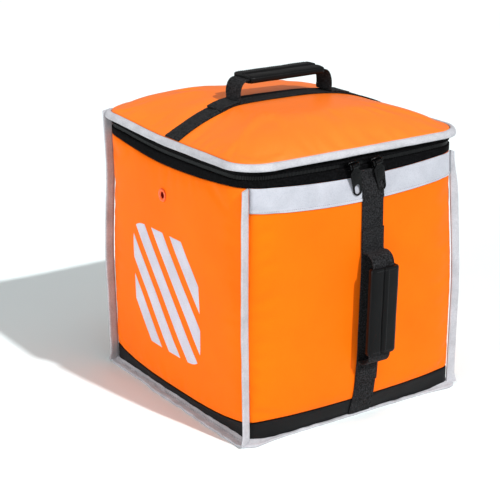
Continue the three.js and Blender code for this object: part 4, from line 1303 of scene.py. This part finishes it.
def eyelet():
    """The vent's moulded eyelet: a rounded flange and a collar through the panel, with a darker red sleeve
    in its bore as painted shade.
    """
    bore, outer = VENT_BORE / 2, VENT_OUTER / 2
    face = max(left_face(VENT_Y + y, VENT_Z + z) for y, z in circle(outer, 8))
    profile = [
        (bore - 0.6, WALL), (bore, WALL), (bore, 3), (outer - 0.6, 0.5), (outer, -0.3), (outer - 0.2, -1.0),
        (outer - 1.2, -1.6), (outer - 2.8, -1.7), (bore + 1.2, -1.5), (bore + 0.3, -1.0), (bore - 0.6, 0.0),
    ]

    def turned_ring(name, section, finish, count):
        loops = [
            [[depth - face, VENT_Y + radius * c, VENT_Z + radius * s] for radius, depth in section]
            for c, s in circle(1, count)
        ]
        return loft(name, loops, finish, closed=True, sharp=60)

    piece = turned_ring("vent_eyelet_ring", profile, "eyelet_rubber", 48)
    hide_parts("vent_eyelet")
    # A thin sleeve of darker red just inside the eyelet's bore: painted shade in the hole.
    shade_sleeve = [(bore - 0.65, 0.3), (bore - 0.65, WALL - 0.2), (bore - 1.0, WALL - 0.2), (bore - 1.0, 0.3)]
    turned_ring("vent_eyelet_shade_sleeve", shade_sleeve, "vent_bore", 40)


eyelet()


def inside_badge(y, z):
    return (abs(y) / BADGE_HALF) ** BADGE_CORNER + (abs(z) / BADGE_HALF) ** BADGE_CORNER <= 1


def badge_span(offset):
    """Where a slanted line, `offset` from the badge's middle, enters and leaves its rounded square."""
    runs = [r for r in np.linspace(-140, 140, 1401) if inside_badge(*badge_point(r, offset))]
    return runs[0], runs[-1]


def badge_point(run, offset):
    c, s = math.cos(BADGE_SLANT), math.sin(BADGE_SLANT)
    return run * c + offset * s, run * s - offset * c


def left_film():
    """Slanted bars of reflective film on the left panel, cut to a rounded square."""
    rows, columns = 60, 8
    for number in range(BADGE_BARS):
        middle = (number - (BADGE_BARS - 1) / 2) * BADGE_PITCH
        offsets = [middle + (k / columns - 0.5) * BADGE_BAR for k in range(columns + 1)]
        spans = [badge_span(offset) for offset in offsets]

        def pair_at(row, column):
            y, z = badge_point(lerp(*spans[column], row / rows), offsets[column])
            y, z = y + BADGE_Y, z + BADGE_Z
            face = left_face(y, z)
            edge = row in (0, rows) or column in (0, columns)
            return [-face - (0.3 if edge else 0.5), y, z], [-face - 0.1, y, z]

        name = f"reflective_bar_{number + 1}"
        sheet(name, rows + 1, columns + 1, pair_at, "badge_film", sharp=40)


left_film()


all_front = strap_trees + [tree_of(front_strap_piece), tree_of(front_handle_piece)]


def on_front(x, z, trees):
    return [x, -face_y(trees, x, z), z]


def front_stitching():
    hem = []
    for t in np.linspace(-168, 168, 120):
        share = abs(t) / float(seam_at(FRONT, 0.0))
        hem.append(on_front(t, strip_low(share) + HEM_HEIGHT, strap_trees))
    stitch_row("strip_hem_stitches", hem, (0, -1, 0), "grey_thread", HEM_STITCH)

    def strap_row(name, start, end):
        line = []
        for k in np.linspace(0, 1, 16):
            z = lerp(start[1], end[1], k)
            line.append(on_front(lerp(start[0], end[0], k) + strap_x(z), z, all_front))
        stitch_row(name, line, (0, -1, 0), "dark_thread", STRAP_STITCH)

    half, (low, foot, high) = WEBBING / 2 - STITCH_INSET, SEWN_BOX
    lines = {
        "left": ((-half, low), (-half, high)),
        "right": ((half, low), (half, high)),
        "top": ((-half, high), (half, high)),
        "foot": ((-half, foot), (half, foot)),
        "rise": ((-half, foot), (half, high)),
        "fall": ((-half, high), (half, foot)),
    }
    for name, (start, end) in lines.items():
        strap_row("strap_stitches_" + name, start, end)
    for number, z in enumerate(CROSS_SEAMS):
        strap_row(f"strap_cross_stitches_{number + 1}", (-half, z), (half, z))


front_stitching()


# Sliders and pulls.


def boxes(name, parts, finish, body, bevel):
    """Rounded boxes of (centre, size) in one piece."""
    points, faces = [], []
    for centre, size in parts:
        faces += box_faces(len(points))
        for dz in (-0.5, 0.5):
            for dx, dy in ((-0.5, -0.5), (0.5, -0.5), (0.5, 0.5), (-0.5, 0.5)):
                points.append(np.array(centre) + np.array(size) * np.array([dx, dy, dz]))
    piece = add_piece(name, points, faces, finish, body=body, sharp=30)
    round_edges(piece, bevel)
    return piece


def turned(piece, place, skew):
    """Turns a piece's mesh about Y by the slider's skew and moves it to the slider's bar."""
    turn = Matrix.Rotation(-skew, 4, "Y")
    piece.data.transform(Matrix.Translation(Vector(place) / 1000) @ turn)


def flat_shape(name, outline, holes, thickness, finish, body, bevel):
    """A flat plate in the XZ plane from an outline and holes, its edges rounded."""
    curve = bpy.data.curves.new(name, "CURVE")
    curve.dimensions = "2D"
    curve.fill_mode = "BOTH"
    curve.extrude = (thickness / 2 - bevel) / 1000
    curve.bevel_depth = bevel / 1000
    curve.bevel_resolution = 2
    curve.offset = -bevel / 1000
    for loop in [outline, *holes]:
        spline = curve.splines.new("POLY")
        spline.points.add(len(loop) - 1)
        for point, (x, z) in zip(spline.points, loop):
            point.co = (x / 1000, z / 1000, 0, 1)
        spline.use_cyclic_u = True
    holder = link_object(name + "_curve", curve)
    mesh = bpy.data.meshes.new_from_object(evaluated(holder))
    bpy.data.objects.remove(holder)
    mesh.name = name
    mesh.transform(Matrix.Rotation(math.radians(90), 4, "X"))
    turn_outward(mesh, merge=True)
    return dress(name, mesh, finish, body, 35)


def arc(cz, radius, first, last, count):
    return [(radius * math.cos(a), cz + radius * math.sin(a)) for a in np.linspace(first, last, count)]


def pull(name):
    """One slider with its bar, and the pull tab that swings on it."""
    spot = SLIDERS[name]
    place = (spot["x"], -spot["reach"], SLIDER_Z)
    body = [
        ((0, 5.65, 0), (16.4, 3.6, 12.4)),
        ((0, 4.1, 0.6), (11.6, 1.6, 10.8)),
        ((-7.0, 2.2, 0), (2.8, 7.0, 7.4)),
        ((7.0, 2.2, 0), (2.8, 7.0, 7.4)),
    ]
    slider = boxes(f"zip_slider_{name}_body", body, "zip_metal", BAG, 0.9)
    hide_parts(f"zip_slider_{name}")
    bar_loops = [[[x, y, z] for y, z in circle(BAR_RADIUS, 20)] for x in (-7, 7)]
    bar = loft(f"zip_slider_{name}_bar", bar_loops, "zip_metal", sharp=40)

    body_name, pi = f"pull_{name}", math.pi
    ring_z, ring_radius, ring_wall = -35.75, 7.25, 2.4
    shoulder = [(4.9, -2.6), (4.9, -4.2), (7.6, -6.4), (8.7, -8.4), (9.0, -10.5)]
    outline = [(-x, z) for x, z in shoulder]
    outline += arc(ring_z, ring_radius, pi, 2 * pi, 22) + shoulder[::-1]
    hole_radius = ring_radius - ring_wall
    hole = arc(ring_z, hole_radius, pi, 2 * pi, 14) + arc(ring_z + 4.3, hole_radius, 0, pi, 14)
    plate = flat_shape(f"zip_pull_{name}_plate", outline, [hole], 2.6, "zip_metal", body_name, 0.7)
    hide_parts(f"zip_pull_{name}")
    inset = [(-5.2, -9.5), (-5.4, -22.0), (5.4, -22.0), (5.2, -9.5)]
    raised = flat_shape(f"zip_pull_{name}_panel", inset, [], 3.5, "zip_metal", body_name, 0.5)
    eye_section = ((-4.9, 3.0), (-4.5, 3.4), (4.5, 3.4), (4.9, 3.0), (4.9, 1.9), (-4.9, 1.9))
    eye_loops = [[[x, y, z] for y, z in circle(radius, 28)] for x, radius in eye_section]
    eye = loft(f"zip_pull_{name}_eye", eye_loops, "zip_metal", closed=True, body=body_name, sharp=40)
    for piece in (slider, bar, plate, raised, eye):
        turned(piece, place, spot["skew"])


pull("left")
pull("right")


# Shoulder straps.

PAD_BOW = 50
PAD_ROUTE = [(0.03, 0.93, 0), (0.44, 0.93, 0.03), (0.76, 0.87, 0.1), (0.94, 0.76, 0.25), (1, 0.62, 0.45),
             (0.92, 0.48, 0.7), (0.72, 0.35, 1)]
PAD_WIDTH, PAD_FOOT_WIDTH, PAD_THICKNESS, PAD_TOP_X, PAD_FOOT_X, PAD_SIDES = 62, 44, 13, 66, 96, 40
CHANNEL_DEPTH, CHANNEL_AT, CHANNEL_SPREAD = 2.2, 0.42, 0.004
TAIL_WIDTH, TAIL_X, BUCKLE_HALF, PAD_STEPS, TAIL_STEPS = 25, 122, 12, 96, 48


def back_point(x, z, off):
    return np.array([x, float(reach_at(BACK, -x, z)) + off, z])


def shoulder_strap(name, sign):
    """A padded strap with two sewn channels, and its tail of webbing."""
    across = (1, 0, 0)
    points = []
    for off, height, side in PAD_ROUTE:
        z = lerp(BASE_HEIGHT, LID_SEAT, height)
        points.append(back_point(sign * lerp(PAD_TOP_X, PAD_FOOT_X, side), z, PAD_BOW * off))
    path = smooth_path(points, PAD_STEPS)
    loops = []
    for i, (point, sideways, normal) in enumerate(frames_along(path, across)):
        width = lerp(PAD_WIDTH, PAD_FOOT_WIDTH, smoothstep(i / (len(path) - 1), 0.7, 1))
        loop = []
        for j in range(PAD_SIDES):
            angle = (j + 0.5) / PAD_SIDES * 2 * math.pi
            c, s = math.cos(angle), math.sin(angle)
            wide = math.copysign(abs(c) ** 0.7, c) * (width / 2 - 1)
            k = abs(wide) / (width / 2)
            thick = (PAD_THICKNESS / 2 - 1.5) * (1 - k**4) ** 0.6
            channel = -CHANNEL_DEPTH * math.exp(-((k - CHANNEL_AT) ** 2) / CHANNEL_SPREAD)
            thick += (channel + 1 - k**2) * min(1.0, thick / 2)
            loop.append(point + sideways * wide + normal * math.copysign(thick, s))
        loops.append(loop)
    pad = loft(f"shoulder_pad_{name}_cloth", loops, "pad_cloth", sharp=70)
    ends = 3 * PAD_SIDES
    last = PAD_SIDES * len(path)
    fill_cloth(pad, [*range(ends), *range(last - ends, last)], PAD_FILL, slack=0.006)
    subdivide(pad)
    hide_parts(f"shoulder_pad_{name}")

    heading = unit(path[-1] - path[-7])
    buckle = path[-1] + heading * (BUCKLE_HALF + GAP)
    laid = LAY + WEBBING_THICKNESS
    tail_points = [buckle + heading * (BUCKLE_HALF + GAP), buckle + heading * 2 * BUCKLE_HALF]
    for height, off in ((1.8, 2 * laid), (1, laid), (0.5, laid)):
        tail_points.append(back_point(sign * TAIL_X, BASE_HEIGHT * height, off))
    tail = band(f"shoulder_webbing_{name}_band", smooth_path(tail_points, TAIL_STEPS), across, TAIL_WIDTH)
    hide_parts(f"shoulder_webbing_{name}")


shoulder_strap("left", -1)
shoulder_strap("right", 1)

for cad_name in ("shoulder_adjuster_left", "shoulder_adjuster_right"):
    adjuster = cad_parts[cad_name]
    adjuster.data.materials.clear()
    adjuster.data.materials.append(MATERIALS["buckle_plastic"])
    round_edges(adjuster, 1.2, 3)


# Stage.

# Half the floor's width in metres, and the strength of the light from all round.
FLOOR_HALF, SKY = 6, 0.3

scene = bpy.context.scene
floor_mesh = bpy.data.meshes.new("floor")
floor_corners = [(x * FLOOR_HALF, y * FLOOR_HALF, 0) for x, y in ((-1, -1), (1, -1), (1, 1), (-1, 1))]
floor_mesh.from_pydata(floor_corners, [], [(0, 1, 2, 3)])
floor = link_object("floor", floor_mesh)
paper = Shader("pale_floor", 0.1)
paper.bsdf.inputs["Roughness"].default_value = 0.9
paper.colour(paper.ramp(paper.noise(400, 2), (0.84, 0.92, 0.93), (0.86, 0.94, 0.95)))
floor_mesh.materials.append(paper.material)

scene.view_settings.view_transform = "Standard"
world = bpy.data.worlds.new("studio")
scene.world = world
world.use_nodes = True
world.node_tree.nodes["Background"].inputs["Color"].default_value = (1, 1, 1, 1)
world.node_tree.nodes["Background"].inputs["Strength"].default_value = SKY


def bearing(azimuth, elevation):
    """The direction of a bearing round the object, in degrees: 0, 0 is in front of it."""
    a, e = math.radians(azimuth), math.radians(elevation)
    return Vector((math.sin(a) * math.cos(e), -math.cos(a) * math.cos(e), math.sin(e)))


def sun(name, azimuth, elevation, strength, size):
    light = bpy.data.lights.new(name, "SUN")
    light.energy = strength
    light.angle = math.radians(size)
    holder = link_object(name, light)
    holder.rotation_mode = "QUATERNION"
    holder.rotation_quaternion = (-bearing(azimuth, elevation)).to_track_quat("-Z", "Y")


# Lights: azimuth, elevation, strength and size in the sky.
sun("key", 12, 41.6, 3.15, 1.6)
sun("fill", -80, 8, 2.1, 25)
sun("above", 0, 80, 0.6, 40)

# The camera of the photograph.
AZIMUTH, ELEVATION, ROLL, DISTANCE = -33.64, 18.45, math.radians(-0.49), 2.18
SENSOR, LENS = 36, 103.75
TARGET = Vector((-0.0507, 0.0025, 0.2119))
back, level = bearing(AZIMUTH, ELEVATION), bearing(AZIMUTH + 90, 0)
upward = back.cross(level)
camera = bpy.data.cameras.new("camera")
camera.sensor_width = SENSOR
camera.lens = LENS
camera.clip_end = 20
columns = (
    level * math.cos(ROLL) + upward * math.sin(ROLL),
    upward * math.cos(ROLL) - level * math.sin(ROLL),
    back,
)
stand = Matrix(columns).transposed().to_4x4()
stand.translation = TARGET + back * DISTANCE
scene.camera = link_object("camera", camera)
scene.camera.matrix_world = stand
